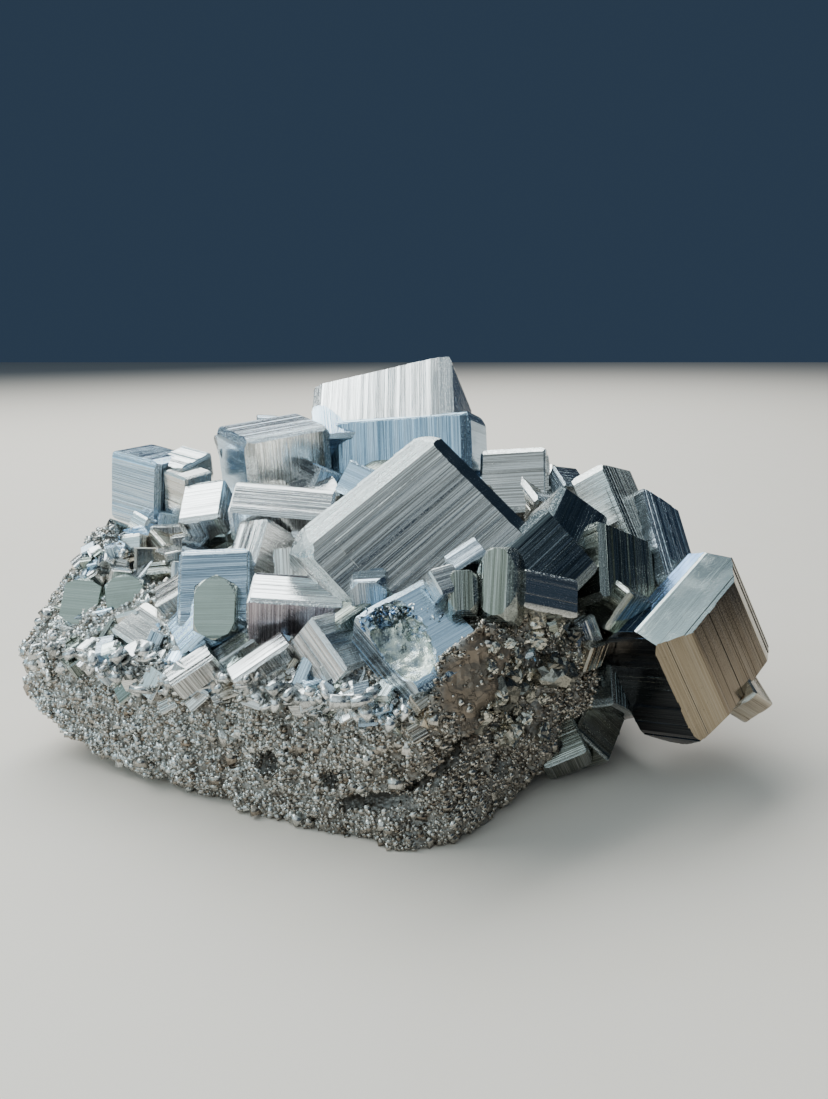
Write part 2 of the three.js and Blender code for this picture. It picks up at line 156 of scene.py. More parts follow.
LEFT_CRYSTALS = (
    Crystal("white_three", (-24, 2, 29.5), (9, 9, 7), (-19, 52, 69), "bright"),
    Crystal("blue_block", (-29.5, -7.5, 25.5), (10, 10.5, 12), (-84, 1, -40), "blue", ledges=1),
    Crystal("hex_plate", (-28, -14.5, 26), (6, 6, 9), (94, 1, -154), "sage",
            bevel=(0.4, 0.4, 2.8), rounding=1.42, smoothness=1.0),
    Crystal("blue_diagonal", (-29.5, -13, 23), (7, 9, 7.5), (-80, 43, -58), "blue"),
    Crystal("white_step", (-16.5, -14.5, 26), (7.5, 13.5, 7.5), (-87, -5, -73),
            "bright", ledges=1, faces={"-z": "violet"}),
    Crystal("left_dark_a", (-53, 1, 21.5), (6, 6, 7.5), (88, 5, -150), "sage",
            bevel=(0.4, 0.4, 2.4), smoothness=1.0),
    Crystal("left_dark_b", (-46, 0.5, 23), (6, 6, 7), (100, -4, -160), "sage",
            bevel=(0.4, 0.4, 2.4), rounding=1.42, smoothness=1.0),
    Crystal("left_grey", (-36, -4, 24), (6, 7, 6), (15, 10, -30), "silver"),
    Crystal("left_striped", (-41, -7.5, 19.5), (6, 7, 6), (-40, 25, 20), "silver"),
    Crystal("left_green", (-46.5, -5, 17.5), (6, 6, 5), (30, -20, 40), "olive"),
    Crystal("bright_slab", (-30.5, -19.5, 18.8), (3.5, 7, 4), (-68, 29, -76), "bright",
            rounding=1.68, smoothness=0.0),
    Crystal("long_slab", (-20.5, -21.3, 20.3), (4, 9, 3.6), (-69, 29, -76), "bright",
            rounding=1.68, smoothness=0.0),
    Crystal("small_blue", (-18, -16.5, 21), (5, 4, 3), (1, 47, -74), "blue"),
    Crystal("small_white", (-8, -25.8, 18.5), (3, 6, 3), (159, -30, -80), "bright"),
    Crystal("small_corner", (-2.5, -25.5, 15.5), (5, 5, 5), (78, 3, 82), "bronze"),
    Crystal("tiny_diagonal", (-25, -16.5, 20.5), (3, 6, 3.5), (-68, 29, -76), "bright"),
    Crystal("prism_a", (-22, -13, 22), (2, 3.6, 1.6), (-70, 45, -50), "steel"),
    Crystal("prism_b", (-22.5, -15, 20.5), (2, 3.5, 1.6), (-65, 50, -55), "silver"),
    Crystal("block_a", (-37, -16, 15.5), (3, 4.5, 3.5), (-70, 60, -50), "silver"),
    Crystal("block_b", (-38, -11, 19), (3.5, 4.5, 3), (-50, 60, -70), "steel"),
    Crystal("block_c", (-32, -20, 18.5), (2.5, 3, 2.5), (-75, 65, -40), "silver"),
    Crystal("block_d", (-35, -16.5, 12.5), (2.5, 3, 2.5), (80, -30, 25), "silver"),
    Crystal("block_e", (-42.5, -12.5, 12.5), (2.5, 3, 3), (85, -40, 30), "olive"),
    Crystal("block_f", (-46, -9.5, 15), (3, 4, 3), (-65, 55, -55), "silver"),
    Crystal("block_g", (-50, -7.5, 17.5), (3, 4, 3), (80, -30, 35), "silver"),
    Crystal("block_h", (-25, -20.5, 16.5), (2.5, 3.5, 2.5), (-85, 20, -35), "bronze"),
    Crystal("block_i", (-19, -22, 17), (2.6, 2.8, 2.8), (-25, 70, -65), "olive"),
    Crystal("block_j", (-17, -21, 20), (2.2, 3, 2.2), (-55, 50, -60), "bronze"),
    Crystal("block_k", (-14.5, -23, 20), (2.2, 4, 2), (-50, 60, -65), "steel"),
    Crystal("block_l", (-10.5, -24, 20.5), (2.4, 3.2, 2.8), (-65, 15, -45), "silver"),
    Crystal("block_m", (-6, -27, 17), (2, 3.4, 2), (0, 75, -65), "steel"),
    Crystal("block_n", (-30, -19.5, 14.5), (1.6, 3.6, 1.8), (-80, 40, -35), "silver"),
    Crystal("block_o", (-21.5, -23.5, 16), (1.8, 3, 1.8), (70, 10, 35), "silver"),
    Crystal("block_p", (-13.5, -26, 17), (1.8, 3, 2), (-90, 15, -35), "silver"),
    Crystal("block_q", (-11.5, -26, 18.5), (1.8, 2.6, 2), (-55, 45, -55), "steel"),
    Crystal("block_r", (-15, -25, 18), (1.8, 2.6, 1.8), (75, 25, 40), "silver"),
    Crystal("block_s", (-28, -18, 17.5), (2.4, 3.4, 2.2), (-60, 30, -60), "steel"),
    Crystal("block_t", (-34, -14.5, 18.5), (2.6, 3.6, 2.4), (-40, 55, -60), "silver"),
    Crystal("gold_a", (1, -31.5, 20), (2.4, 2.8, 2.4), (-55, 20, -50), "bronze"),
    Crystal("gold_b", (2, -31, 17.5), (2.4, 2.4, 3), (-60, 65, -10), "bronze"),
    Crystal("gold_c", (0.5, -31, 15.5), (2.2, 2.4, 2.2), (-75, 25, -30), "bronze"),
    Crystal("white_tip", (4, -21, 32), (3, 4, 4), (-55, 5, -45), "bright"),
    Crystal("blue_tip", (7.5, -17, 34), (3.5, 5, 3.5), (-75, 30, -60), "steel", rounding=1.7),
)


class Field(NamedTuple):
    """Rows and columns of smaller crystals, from one corner across and down to the rest."""

    name: str
    start: tuple
    across: tuple
    down: tuple
    columns: int
    rows: int
    least: float
    most: float
    # Swatches of its crystals: silver near the ore's own colour, the others painted reflections, bright
    # a painted highlight
    tints_and_painted_reflections: tuple = ("silver", "steel", "olive", "bright", "blue", "silver", "bronze")
    towards_window: bool = False  # whether its crystals mostly turn one side to the window


# Painted highlights and reflections for crystals turned to the window: bright paints white glints,
# blue, sage, steel and mint paint reflections, silver is near the ore's own colour
PAINTED_GLINT_AND_REFLECTION_TINTS = ("bright", "silver", "bright", "blue", "sage", "bright", "steel", "mint")
FIELDS = (
    Field("front_field", (-38, -13.5, 17), (29, -10, 3), (0, -2, -2.5), 9, 2, 2, 3.6),
    Field("left_field", (-58, 2, 20), (20, -8, 3), (1, -5, -5), 5, 3, 2.5, 4.5),
    Field("left_top_field", (-54, 10, 26), (24, 2, 3), (0, 9, 3), 6, 3, 3.5, 6),
    Field("middle_field", (-34, 2, 24), (24, -4, 1), (2, -8, -3), 4, 2, 5, 7),
    Field("right_field", (12, -17, 24), (14, 6, -2), (1, -1, -5), 3, 2, 3, 6),
    Field("top_field", (-20, 16, 33), (44, 0, 0), (0, 8, 3), 5, 2, 8, 11),
    Field("back_field", (-44, 24, 30), (76, 0, -2), (0, 5, -9), 8, 2, 8, 12),
    Field("gap_field", (-52, 3, 24), (22, -2, 2), (0, 7, 2), 5, 2, 3.5, 5.5),
    Field("crust_field", (-59.5, 0, 17), (4, 10, 12), (6, -4, 1), 7, 4, 1.2, 2.8, PAINTED_GLINT_AND_REFLECTION_TINTS,
          True),
    Field("band_field", (-53, -7, 18.5), (51, -21.5, 1), (0.5, -1.8, -3.6), 20, 3, 1.6, 3.8,
          PAINTED_GLINT_AND_REFLECTION_TINTS, True),
)
FIELD_JITTER = 0.6  # of a cell
FIELD_TILT = 55  # degrees
WINDOW_LEAN = 25  # degrees that crystals turned to the window lean forward and to the left
WINDOW_SPREAD = 0.6  # how much of the usual uneven tilt they keep

MATRIX_CORNERS = (
    (-3, -32, -2.5), (4, -32, -2.5), (19, -10, -2.5), (16, 12, -2.5), (-18, 12, -2.5),
    (-20, -14, -2.5), (-3, -33, 1), (5, -33, 1), (9, -28, 2.5), (18, -20.5, 5),
    (28, -11, 11), (24, -14, 20), (2, -31.5, 16), (3, -29.5, 21), (9, -23.5, 26.5),
    (15, -18.5, 27), (-15, -28, 1), (-30, -21.5, 2.5), (-44, -14.5, 2.5), (-55.5, -8.5, 4.5),
    (-62.5, -4, 9), (-63.5, -2, 15), (-60, 1, 21), (-21, -23.5, 15.5), (-10, -27, 16),
    (-47, -11, 13), (-55, 6, 24), (-45, 12, 27), (-25, 16, 31), (0, 16, 35), (24, 12, 31),
    (34, 8, 24), (-57, 9, 12), (-46, 22, 14), (-36, 26, 26), (-10, 34, 25), (18, 33, 23),
    (34, 22, 20), (37, 6, 12), (33, 20, 7), (14, 30, 4), (-14, 31, 4), (-40, 20, 5),
)
CRUST_CORNERS = (
    (-62, -1, 14), (-61, 0.5, 19), (-58.5, 2.5, 22.5), (-57.5, 6, 26), (-56, 10, 29.5),
    (-53, 14.5, 32.5), (-48, 8, 27), (-48, -7, 17), (-55, -3, 19), (-48, 16, 20),
)
BROWN_CORNERS = (
    (8.5, -26.5, 28.5), (6.5, -29, 27), (3, -30.5, 25.5), (1.5, -32.5, 20.5), (2, -33.3, 17),
    (7, -33, 15), (11.5, -29.5, 19), (13.5, -24.5, 25), (12, -22, 26.5), (9, -20, 18), (3, -25, 14),
)
MATRIX_CENTRE = (-5, 0, 15)
LUMP_SPACING = 7
SMALL_LUMP_SPACING = 3
SMALL_LUMP_HEIGHT = 0.6  # of the big lumps
MASSIVE_CENTRE = (9, -29, 21)  # the middle of the brown massive ore
MASSIVE_REACH = (6.5, 8, 8)
RUBBLE_TONE = np.array((0.44, 0.42, 0.36))
RUBBLE_CENTRE = (17, -23, 20)  # the middle of the rubble on the right wall
RUBBLE_REACH = (10, 10, 10)
PITS = (((-20, -26.5, 8), 1.6), ((-11, -29, 7.5), 1.1), ((12, -26.5, 8), 1.4))
CRACK_PATH = ((7, -31.5, 13.5), (4, -33, 10), (-2, -33.5, 6), (-9, -31.5, 4.5))
CRACK_REACH = 1.25
CRACK_DEPTH = 4.0
CRACK_BACK = -20  # the crack lies in front of this

BEVEL_SLOPE = 0.5  # drop over width
BEVEL_SHARE = 0.1  # of a crystal's middle side
CHAMFER_MATCH = 0.999  # how closely a chamfer's faces look its way
BEVEL_LEAN = 0.95  # faces of a crystal that are less square to its sides are bevels


# Settings

def length(name, description, millimetres):
    """A length that a user can change."""
    return bpy.props.FloatProperty(
        name=name, description=description, default=millimetres * MM, unit="LENGTH")


def number_of(name, description, default):
    """A number of things that a user can change."""
    return bpy.props.IntProperty(name=name, description=description, default=default, min=0)


def swatch(name, description, *default):
    """A colour that a user can change."""
    return bpy.props.FloatVectorProperty(
        name=name, description=description, default=default, subtype="COLOR", min=0, max=1)


class SpecimenSizes(bpy.types.PropertyGroup):
    """Sizes and numbers of the fine forms of the specimen."""

    stripe_width: length("Stripe width", "Usual width of one growth stripe", 0.36)
    stripe_lean: bpy.props.FloatProperty(
        name="Stripe lean", description="How far single stripes lean out of their face",
        default=math.radians(3.2), subtype="ANGLE")
    ledge_height: length("Ledge height", "Step at the edge of a growth ledge", 0.15)
    matrix_cell: length("Matrix cell", "Size of the facets of the matrix", 0.48)
    matrix_lump: length("Matrix lump", "How far the lumps of the matrix stand out", 1.1)
    grain_size: length("Grain size", "Usual size of a grain of the matrix", 0.36)
    grain_count: number_of("Grains", "Grains on the matrix", 42000)
    chip_count: number_of("Chips", "Slivers and chips below the crystals", 420)
    shard_count: number_of("Shards", "Shards in the broken face", 150)
    rubble_count: number_of("Rubble", "Broken lumps on the right wall", 120)


class SpecimenColours(bpy.types.PropertyGroup):
    """Colours of the crystals, the matrix and the stage."""

    # Crystal swatches: silver is near the ore's own pale brass colour; bright is a painted highlight,
    # the white of faces that mirror the window; mint, blue, azure, steel, cobalt, navy, sage, olive,
    # violet, bronze, brown and tan are painted reflections of coloured surroundings
    bright: swatch("Bright", "Cleanest, whitest crystal faces", 0.96, 0.97, 0.95)
    silver: swatch("Silver", "Clean crystal faces", 0.76, 0.74, 0.69)
    mint: swatch("Mint", "Pale grey-green bevels", 0.84, 0.93, 0.88)
    blue: swatch("Blue", "Clear blue-grey crystal faces", 0.52, 0.70, 0.86)
    azure: swatch("Azure", "Middle blue crystal faces", 0.39, 0.61, 0.80)
    steel: swatch("Steel", "Dark blue-grey crystal faces", 0.37, 0.44, 0.50)
    cobalt: swatch("Cobalt", "Deep blue crystal faces", 0.20, 0.34, 0.56)
    navy: swatch("Navy", "Nearly black blue crystal faces", 0.17, 0.21, 0.22)
    # Painted shade: black is for faces that lie in shadow
    black: swatch("Black", "Blackest crystal faces", 0.06, 0.06, 0.065)
    sage: swatch("Sage", "Smooth grey-green crystal faces", 0.32, 0.37, 0.32)
    olive: swatch("Olive", "Dark grey-green crystal faces", 0.25, 0.27, 0.22)
    violet: swatch("Violet", "Purple-grey crystal faces", 0.48, 0.42, 0.47)
    bronze: swatch("Bronze", "Warm brown-grey crystal faces", 0.50, 0.43, 0.33)
    brown: swatch("Brown", "Smooth tan-brown crystal faces", 0.21, 0.165, 0.115)
    tan: swatch("Tan", "Paler brown bevels", 0.28, 0.23, 0.16)
    matrix_dark: swatch("Dark matrix", "Brown ground between the grains", 0.14, 0.115, 0.09)
    matrix_light: swatch("Light matrix", "Grey ground between the grains", 0.55, 0.55, 0.52)
    brown_mass: swatch("Brown mass", "Dull brown ore by the broken cube", 0.165, 0.135, 0.105)
    floor: swatch("Floor", "Plain pale floor", 0.80, 0.70, 0.60)
    backdrop: swatch("Backdrop", "Soft light from all around", 0.028, 0.048, 0.08)


def sizes():
    return bpy.context.scene.specimen_sizes


def colours():
    return bpy.context.scene.specimen_colours


# Shader maths

class Number:
    """A number that varies over a surface, with the arithmetic of plain numbers."""

    def __init__(self, shader, socket):
        self.shader = shader
        self.socket = socket

    def _math(self, operation, first, second=0.0):
        settings = {"operation": operation}
        node = self.shader.node("ShaderNodeMath", settings, {0: first, 1: second})
        return Number(self.shader, node.outputs[0])

    def __add__(self, other):
        return self._math("ADD", self, other)

    __radd__ = __add__

    def __sub__(self, other):
        return self._math("SUBTRACT", self, other)

    def __rsub__(self, other):
        return self._math("SUBTRACT", other, self)

    def __mul__(self, other):
        return self._math("MULTIPLY", self, other)

    __rmul__ = __mul__

    def clamped(self):
        node = self.shader.node("ShaderNodeClamp", None, {"Value": self})
        return Number(self.shader, node.outputs[0])

    def spread(self, low, high):
        """This number with low to high stretched from 0 to 1, and held inside that."""
        inputs = {"Value": self, 1: low, 2: high, 3: 0.0, 4: 1.0}
        node = self.shader.node("ShaderNodeMapRange", {"clamp": True}, inputs)
        return Number(self.shader, node.outputs[0])


class Shader:
    """A material under construction."""

    def __init__(self, name):
        self.material = bpy.data.materials.new(name)
        self.material.use_nodes = True
        self.tree = self.material.node_tree
        self.tree.nodes.clear()

    def node(self, kind, settings=None, inputs=None):
        """Add a node, with its settings first and then the values or links of its sockets."""
        node = self.tree.nodes.new(kind)
        for name, value in (settings or {}).items():
            setattr(node, name, value)
        for name, value in (inputs or {}).items():
            source = getattr(value, "socket", value)
            if isinstance(source, bpy.types.NodeSocket):
                self.tree.links.new(source, node.inputs[name])
            else:
                node.inputs[name].default_value = source
        return node

    def attribute(self, name):
        return self.node("ShaderNodeAttribute", {"attribute_name": name})

    def parts(self, vector):
        node = self.node("ShaderNodeSeparateXYZ", None, {0: vector})
        return tuple(Number(self, socket) for socket in node.outputs)

    def vector(self, x, y, z):
        return self.node("ShaderNodeCombineXYZ", None, {0: x, 1: y, 2: z}).outputs[0]

    def noise(self, vector, scale, detail=3.0, roughness=0.55):
        inputs = {"Vector": vector, "Scale": scale, "Detail": detail, "Roughness": roughness}
        return Number(self, self.node("ShaderNodeTexNoise", None, inputs).outputs[0])

    def mix(self, share, first, second, blend="MIX"):
        """Two colours mixed; share is how much of the second."""
        settings = {"data_type": "RGBA", "blend_type": blend, "clamp_factor": True}
        return self.node("ShaderNodeMix", settings, {0: share, 6: first, 7: second}).outputs[2]

    def bump(self, height, distance, strength=1.0, before=None):
        inputs = {"Height": height, "Distance": distance, "Strength": strength}
        if before is not None:
            inputs["Normal"] = before
        return self.node("ShaderNodeBump", None, inputs).outputs[0]

    def finish(self, **surface):
        """Close the material with a principled surface, given its sockets by name."""
        inputs = {name.replace("_", " ").title(): value for name, value in surface.items()}
        surface_node = self.node("ShaderNodeBsdfPrincipled", None, inputs)
        self.node("ShaderNodeOutputMaterial", None, {0: surface_node.outputs[0]})
        return self.material


def opaque(colour):
    return (*colour, 1.0)


# Materials

WHITE = (1, 1, 1, 1)
STRIPE_SHADOW = (0.22, 0.20, 0.19, 1)  # darkens the tint between the stripes
WORN_GREY = (0.52, 0.57, 0.56, 1)
WORN_WHITE = (0.98, 1.0, 0.98, 1)
SHELL_DARK = (0.30, 0.36, 0.40, 1)  # tones of the broken places
SHELL_PALE = (0.66, 0.70, 0.60, 1)
SEAM_TONE = (0.04, 0.03, 0.022, 1)
MASS_RANGE = 1.9  # how much brighter the palest brown mass is than the darkest
GRAIN_DIRT = (0.2, 0.16, 0.12, 1)  # darkens the tint in the dirty spots of grains
FLOOR_PALE = (0.9, 0.88, 0.85, 1)


def crystal_material():
    """Metallic crystal faces, finely striped along their growth, worn at their bevels, with painted
    highlight on the stripes and painted shade between them.
    """
    shader = Shader("pyrite_faces")
    across, along, seed = shader.parts(shader.attribute("stripe").outputs["Vector"])
    worn, broken, smooth = shader.parts(shader.attribute("state").outputs["Vector"])
    # tint holds each face's swatch, mostly a painted reflection colour
    tint = shader.attribute("tint").outputs["Color"]
    striped = 1.0 - broken
    fine = shader.noise(shader.vector(across * 7.0, along * 0.035, seed), 1.0, 2.0, 0.6)
    hair = shader.noise(shader.vector(across * 26.0, along * 0.12, seed + 5.2), 1.0, 1.0)
    broad = shader.noise(shader.vector(across * 0.9, along * 0.02, seed + 7.3), 1.0, 2.0)
    patches = shader.noise(shader.vector(across * 0.3, along * 0.22, seed + 3.1), 1.0, 3.0)
    specks = shader.noise(shader.vector(across * 3.4, along * 3.4, seed + 11.0), 1.0, 3.0, 0.7)
    grit = shader.noise(shader.vector(across * 7.0, along * 7.0, seed + 17.0), 1.0, 2.0, 0.7)
    shells = shader.noise(shader.vector(across * 0.9, along * 0.9, seed + 23.0), 1.0, 4.0, 0.6)
    strength = striped * (1.0 - 0.8 * smooth)
    line = fine.spread(0.34, 0.66) * 0.62 + hair.spread(0.35, 0.65) * 0.38
    shade = line * 0.7 + broad.spread(0.3, 0.7) * 0.3
    # Painted highlight and shade: the stripes are mixed toward white where they stand out and darkened
    # between them, with dark specks over that
    lit = shader.mix(strength * shade.spread(0.4, 0.8) * 0.45, tint, WHITE)
    dark = shader.mix(1.0, tint, STRIPE_SHADOW, "MULTIPLY")
    drawn = (1.0 - shade).spread(0.38, 0.68) * 0.9 + broad.spread(0.52, 0.66) * 0.3
    groove_shade_and_specks = drawn * strength + specks.spread(0.64, 0.74) * 0.3
    striped_colour = shader.mix(groove_shade_and_specks.clamped(), lit, dark)
    chips = specks.spread(0.5, 0.58) * grit.spread(0.42, 0.56)
    rough_edge = worn * (0.3 + chips * 0.7)
    worn_tone = shader.mix(chips, WORN_GREY, WORN_WHITE)
    worn_colour = shader.mix(worn * 0.8, striped_colour, worn_tone)
    shell_tone = shader.mix(shells.spread(0.3, 0.6), SHELL_DARK, SHELL_PALE)
    colour = shader.mix(broken, worn_colour, shell_tone)
    roughness = 0.1 + line * 0.1 * strength + patches.spread(0.45, 0.7) * 0.12
    roughness = roughness + specks.spread(0.6, 0.7) * 0.15 + rough_edge * 0.3 + broken * 0.08
    stripes = shader.bump(fine * 0.9 + hair * 0.25 + broad * 0.8, 0.05 * MM, strength * 0.75)
    pits = shader.bump(grit * rough_edge + specks * 0.1, 0.22 * MM, 0.6, stripes)
    normal = shader.bump(shells * broken, 0.3 * MM, 0.6, pits)
    return shader.finish(
        base_color=colour, metallic=0.97, roughness=roughness.clamped(), normal=normal)


def matrix_material():
    """Ground of the matrix: grey at the left, brown and massive at the right and front."""
    shader = Shader("matrix_ground")
    place = shader.node("ShaderNodeTexCoord").outputs["Object"]
    massive = Number(shader, shader.attribute("massive").outputs["Fac"])
    coarse = shader.noise(place, 160.0, 5.0, 0.6)
    fine = shader.noise(place, 1400.0, 4.0, 0.65)
    drift = shader.node("ShaderNodeTexNoise", None, {"Vector": place, "Scale": 420.0, "Detail": 4.0})
    wander = shader.node("ShaderNodeVectorMath", {"operation": "MULTIPLY_ADD"},
                         {0: drift.outputs["Color"], 1: (0.007, 0.007, 0.007), 2: place})
    cracks = shader.node("ShaderNodeTexVoronoi", {"feature": "DISTANCE_TO_EDGE"},
                         {"Vector": wander.outputs["Vector"], "Scale": 300.0})
    seams = 1.0 - Number(shader, cracks.outputs["Distance"]).spread(0.0, 0.035)
    grain = shader.node("ShaderNodeTexVoronoi", None, {"Vector": place, "Scale": 1700.0})
    cells = Number(shader, grain.outputs["Distance"])
    shade = (coarse.spread(0.35, 0.68) * 0.45 + fine.spread(0.4, 0.65) * 0.45).clamped()
    ground = shader.mix(shade, opaque(colours().matrix_dark), opaque(colours().matrix_light))
    brown = opaque(colours().brown_mass)
    pale_brown = opaque(channel * MASS_RANGE for channel in colours().brown_mass)
    mass = shader.mix(coarse.spread(0.4, 0.65), brown, pale_brown)
    mass = shader.mix(seams * coarse.spread(0.42, 0.55) * 0.55, mass, SEAM_TONE)
    colour = shader.mix(massive, ground, mass)
    roughness = 0.36 + fine.spread(0.3, 0.7) * 0.3
    relief = (cells * 0.8 + fine) * (1.0 - massive * 0.75) - seams * massive * 0.6
    normal = shader.bump(relief + coarse * massive, 0.25 * MM, 0.9)
    return shader.finish(
        base_color=colour, metallic=0.72, roughness=roughness.clamped(), normal=normal)


def grain_material():
    """Small sparkling grains and chips, each with its own shade from brown to bright, a tint that
    carries painted window light and painted glints.
    """
    shader = Shader("matrix_grains")
    tint = shader.attribute("tint").outputs["Color"]
    place = shader.node("ShaderNodeTexCoord").outputs["Object"]
    fine = shader.noise(place, 2600.0, 2.0)
    colour = shader.mix(fine.spread(0.45, 0.7) * 0.45, tint, GRAIN_DIRT, "MULTIPLY")
    roughness = 0.13 + fine.spread(0.35, 0.65) * 0.22
    normal = shader.bump(fine, 0.04 * MM, 0.4)
    return shader.finish(
        base_color=colour, metallic=0.95, roughness=roughness, normal=normal)


def floor_material():
    """Plain pale floor, a little uneven in tone."""
    shader = Shader("pale_floor")
    place = shader.node("ShaderNodeTexCoord").outputs["Object"]
    fine = shader.noise(place, 90.0, 3.0)
    tone = opaque(colours().floor)
    colour = shader.mix(fine.spread(0.2, 0.8) * 0.08, tone, FLOOR_PALE)
    return shader.finish(base_color=colour, roughness=0.55)


def material(name, maker):
    """The material of this name, which its maker makes the first time."""
    return bpy.data.materials.get(name) or maker()


# Help with numbers and meshes

def chance(index, channel):
    """A number from 0 to 1 that looks random but is the same in every run."""
    wave = math.sin(index * 12.9898 + channel * 78.233) * 43758.5453
    return wave - math.floor(wave)


def mesh_from(name, points, faces):
    mesh = bpy.data.meshes.new(name)
    mesh.from_pydata([tuple(point) for point in points], [], faces)
    return mesh


# Crystals

STRIPE_SPREAD = 0.55  # how unevenly wide the stripes are
STRIPE_UNEVEN = 0.012  # how unevenly high they are, in millimetres
STEP_CHANCE = 0.16  # of a bigger step at the edge of a stripe
STEP_HEIGHT = 0.06
RISER = 0.004  # half the width of the riser between two stripes
NARROW_STRIPES = 0.55  # of the usual width, on the narrowest faces
STRIPE_GROWTH = 0.45  # what is added to that on the widest
WIDE_FACE = 14  # faces at least this wide have stripes of the usual width
CALMING = 0.85  # how much less the stripes of the smoothest faces lean


def stripe_profile(rng, half_width, bevel, end, width, lean):
    """Heights of a striped face across its stripes, as (across, height) points."""
    reach = half_width + 1.0
    edges = [-reach]
    while edges[-1] < reach:
        edges.append(edges[-1] + width * float(np.exp(rng.normal(0.0, STRIPE_SPREAD))))
    edges[-1] = reach
    step = 0.0
    points = []
    for low, high in zip(edges[:-1], edges[1:]):
        if rng.random() < STEP_CHANCE:
            step = float(rng.normal(0.0, STEP_HEIGHT))
        tilt = math.tan(float(rng.normal(0.0, lean)))
        lift = step + float(rng.normal(0.0, STRIPE_UNEVEN))
        for place, side in ((low + RISER, -0.5), (high - RISER, 0.5)):
            drop = max(0.0, abs(place) - (half_width - bevel)) * BEVEL_SLOPE
            points.append((place, end - drop + lift + tilt * side * (high - low)))
    return points


def prism(crystal_size, index, bevel, lean, rng):
    """A long prism whose two ends across one side carry that side's stripes."""
    stripe = (index + 1) % 3
    beside = (index + 2) % 3
    end = crystal_size[index] / 2
    half_width = crystal_size[beside] / 2
    growth = STRIPE_GROWTH * min(1.0, crystal_size[beside] / WIDE_FACE)
    width = sizes().stripe_width / MM * (NARROW_STRIPES + growth)
    upper = stripe_profile(rng, half_width, bevel, end, width, lean)
    lower = stripe_profile(rng, half_width, bevel, end, width, lean)
    outline = [(height, place) for place, height in upper]
    outline += [(-height, place) for place, height in reversed(lower)]
    half_length = crystal_size[stripe]
    points = []
    for along in (-half_length, half_length):
        for height, place in outline:
            point = [0.0, 0.0, 0.0]
            point[index] = height
            point[beside] = place
            point[stripe] = along
            points.append(point)
    count = len(outline)
    faces = [(i, count + i, count + (i + 1) % count, (i + 1) % count) for i in range(count)]
    faces += [tuple(range(count)), tuple(range(2 * count - 1, count - 1, -1))]
    return mesh_from("prism", points, faces)


def worn_ball(crystal_size, rounding):
    """An ellipsoid that only a crystal's corners reach through."""
    mesh = bpy.data.meshes.new("ball")
    ball = bmesh.new()
    bmesh.ops.create_uvsphere(ball, u_segments=40, v_segments=24, radius=1.0)
    scale = [side / 2 * rounding for side in crystal_size]
    bmesh.ops.scale(ball, vec=scale, verts=ball.verts)
    ball.to_mesh(mesh)
    ball.free()
    return mesh


def combined(first, others):
    """The first mesh after a boolean with each of the others, given as (mesh, operation)."""
    base = bpy.data.objects.new("base", first)
    bpy.context.collection.objects.link(base)
    helpers = [base]
    for mesh, operation in others:
        tool = bpy.data.objects.new("tool", mesh)
        bpy.context.collection.objects.link(tool)
        helpers.append(tool)
        modifier = base.modifiers.new("join", "BOOLEAN")
        modifier.operation = operation
        modifier.solver = "MANIFOLD"
        modifier.object = tool
    graph = bpy.context.evaluated_depsgraph_get()
    result = bpy.data.meshes.new_from_object(base.evaluated_get(graph))
    meshes = [helper.data for helper in helpers]
    for helper in helpers:
        bpy.data.objects.remove(helper)
    for mesh in meshes:
        if mesh.users == 0:
            bpy.data.meshes.remove(mesh)
    return result


def face_outward(mesh):
    """Turn all faces of a closed mesh outward."""
    work = bmesh.new()
    work.from_mesh(mesh)
    bmesh.ops.recalc_face_normals(work, faces=work.faces)
    work.to_mesh(mesh)
    work.free()
    return mesh


def striped_block(crystal_size, bevels, rounding, rng, smooth=(0, 0, 0)):
    """One cubic block with stripes on all its faces, around the origin."""
    leans = [sizes().stripe_lean * (1 - CALMING * share) for share in smooth]
    prisms = [face_outward(prism(crystal_size, index, bevels[index], leans[index], rng))
              for index in range(3)]
    ball = worn_ball(crystal_size, rounding)
    cuts = [(prisms[1], "INTERSECT"), (prisms[2], "INTERSECT"), (ball, "INTERSECT")]
    return combined(prisms[0], cuts)


LEDGE_ROOM = 0.97  # of the flat part of a face
LEDGE_THICKNESS = 0.7  # of the crystal, so that nearly all of the block lies inside it
LEDGE_CENTRE = 0.15  # of the crystal, which brings the block's top level with the face
LEDGE_BEVEL = 0.08
SHARP = 1.8  # a rounding that wears no corner away


def ledge_mesh(crystal, bevels, rng):
    """A low plateau on the flat part of one face, long in the direction of its stripes."""
    axis = int(rng.integers(0, 3))
    stripe = (axis + 1) % 3
    beside = (axis + 2) % 3
    size = [0.0, 0.0, 0.0]
    shift = [0.0, 0.0, 0.0]
    for side, room, least in ((stripe, bevels[stripe], 0.7), (beside, 2 * bevels[axis], 0.25)):
        flat = (crystal.size[side] - room) * LEDGE_ROOM
        size[side] = flat * float(rng.uniform(least, least + 0.25))
        shift[side] = float(rng.uniform(-0.5, 0.5)) * (flat - size[side])
    raised = sizes().ledge_height / MM * float(rng.uniform(0.6, 1.0))
    size[axis] = crystal.size[axis] * LEDGE_THICKNESS
    direction = 1 if rng.random() < 0.5 else -1
    shift[axis] = direction * (crystal.size[axis] * LEDGE_CENTRE + raised)
    ledge = striped_block(size, (LEDGE_BEVEL,) * 3, SHARP, rng)
    ledge.transform(Matrix.Translation(shift))
    return ledge


SMALL_HOLLOW = 4.5  # hollows that reach no further are jagged, and wider ones smooth shells
SMOOTH_LAYERS = ((0.3, 1.3, 9.0), (0.06, 0.45, 21.0))
JAGGED_LAYERS = ((0.65, 1.3, 9.0), (0.36, 0.45, 21.0))
RIPPLE_HEIGHT = 0.05
RIPPLE_PITCH = 4.2  # radians per millimetre
RIPPLE_START = (0.0, 1.2, 0.4)  # of the hollow's reach


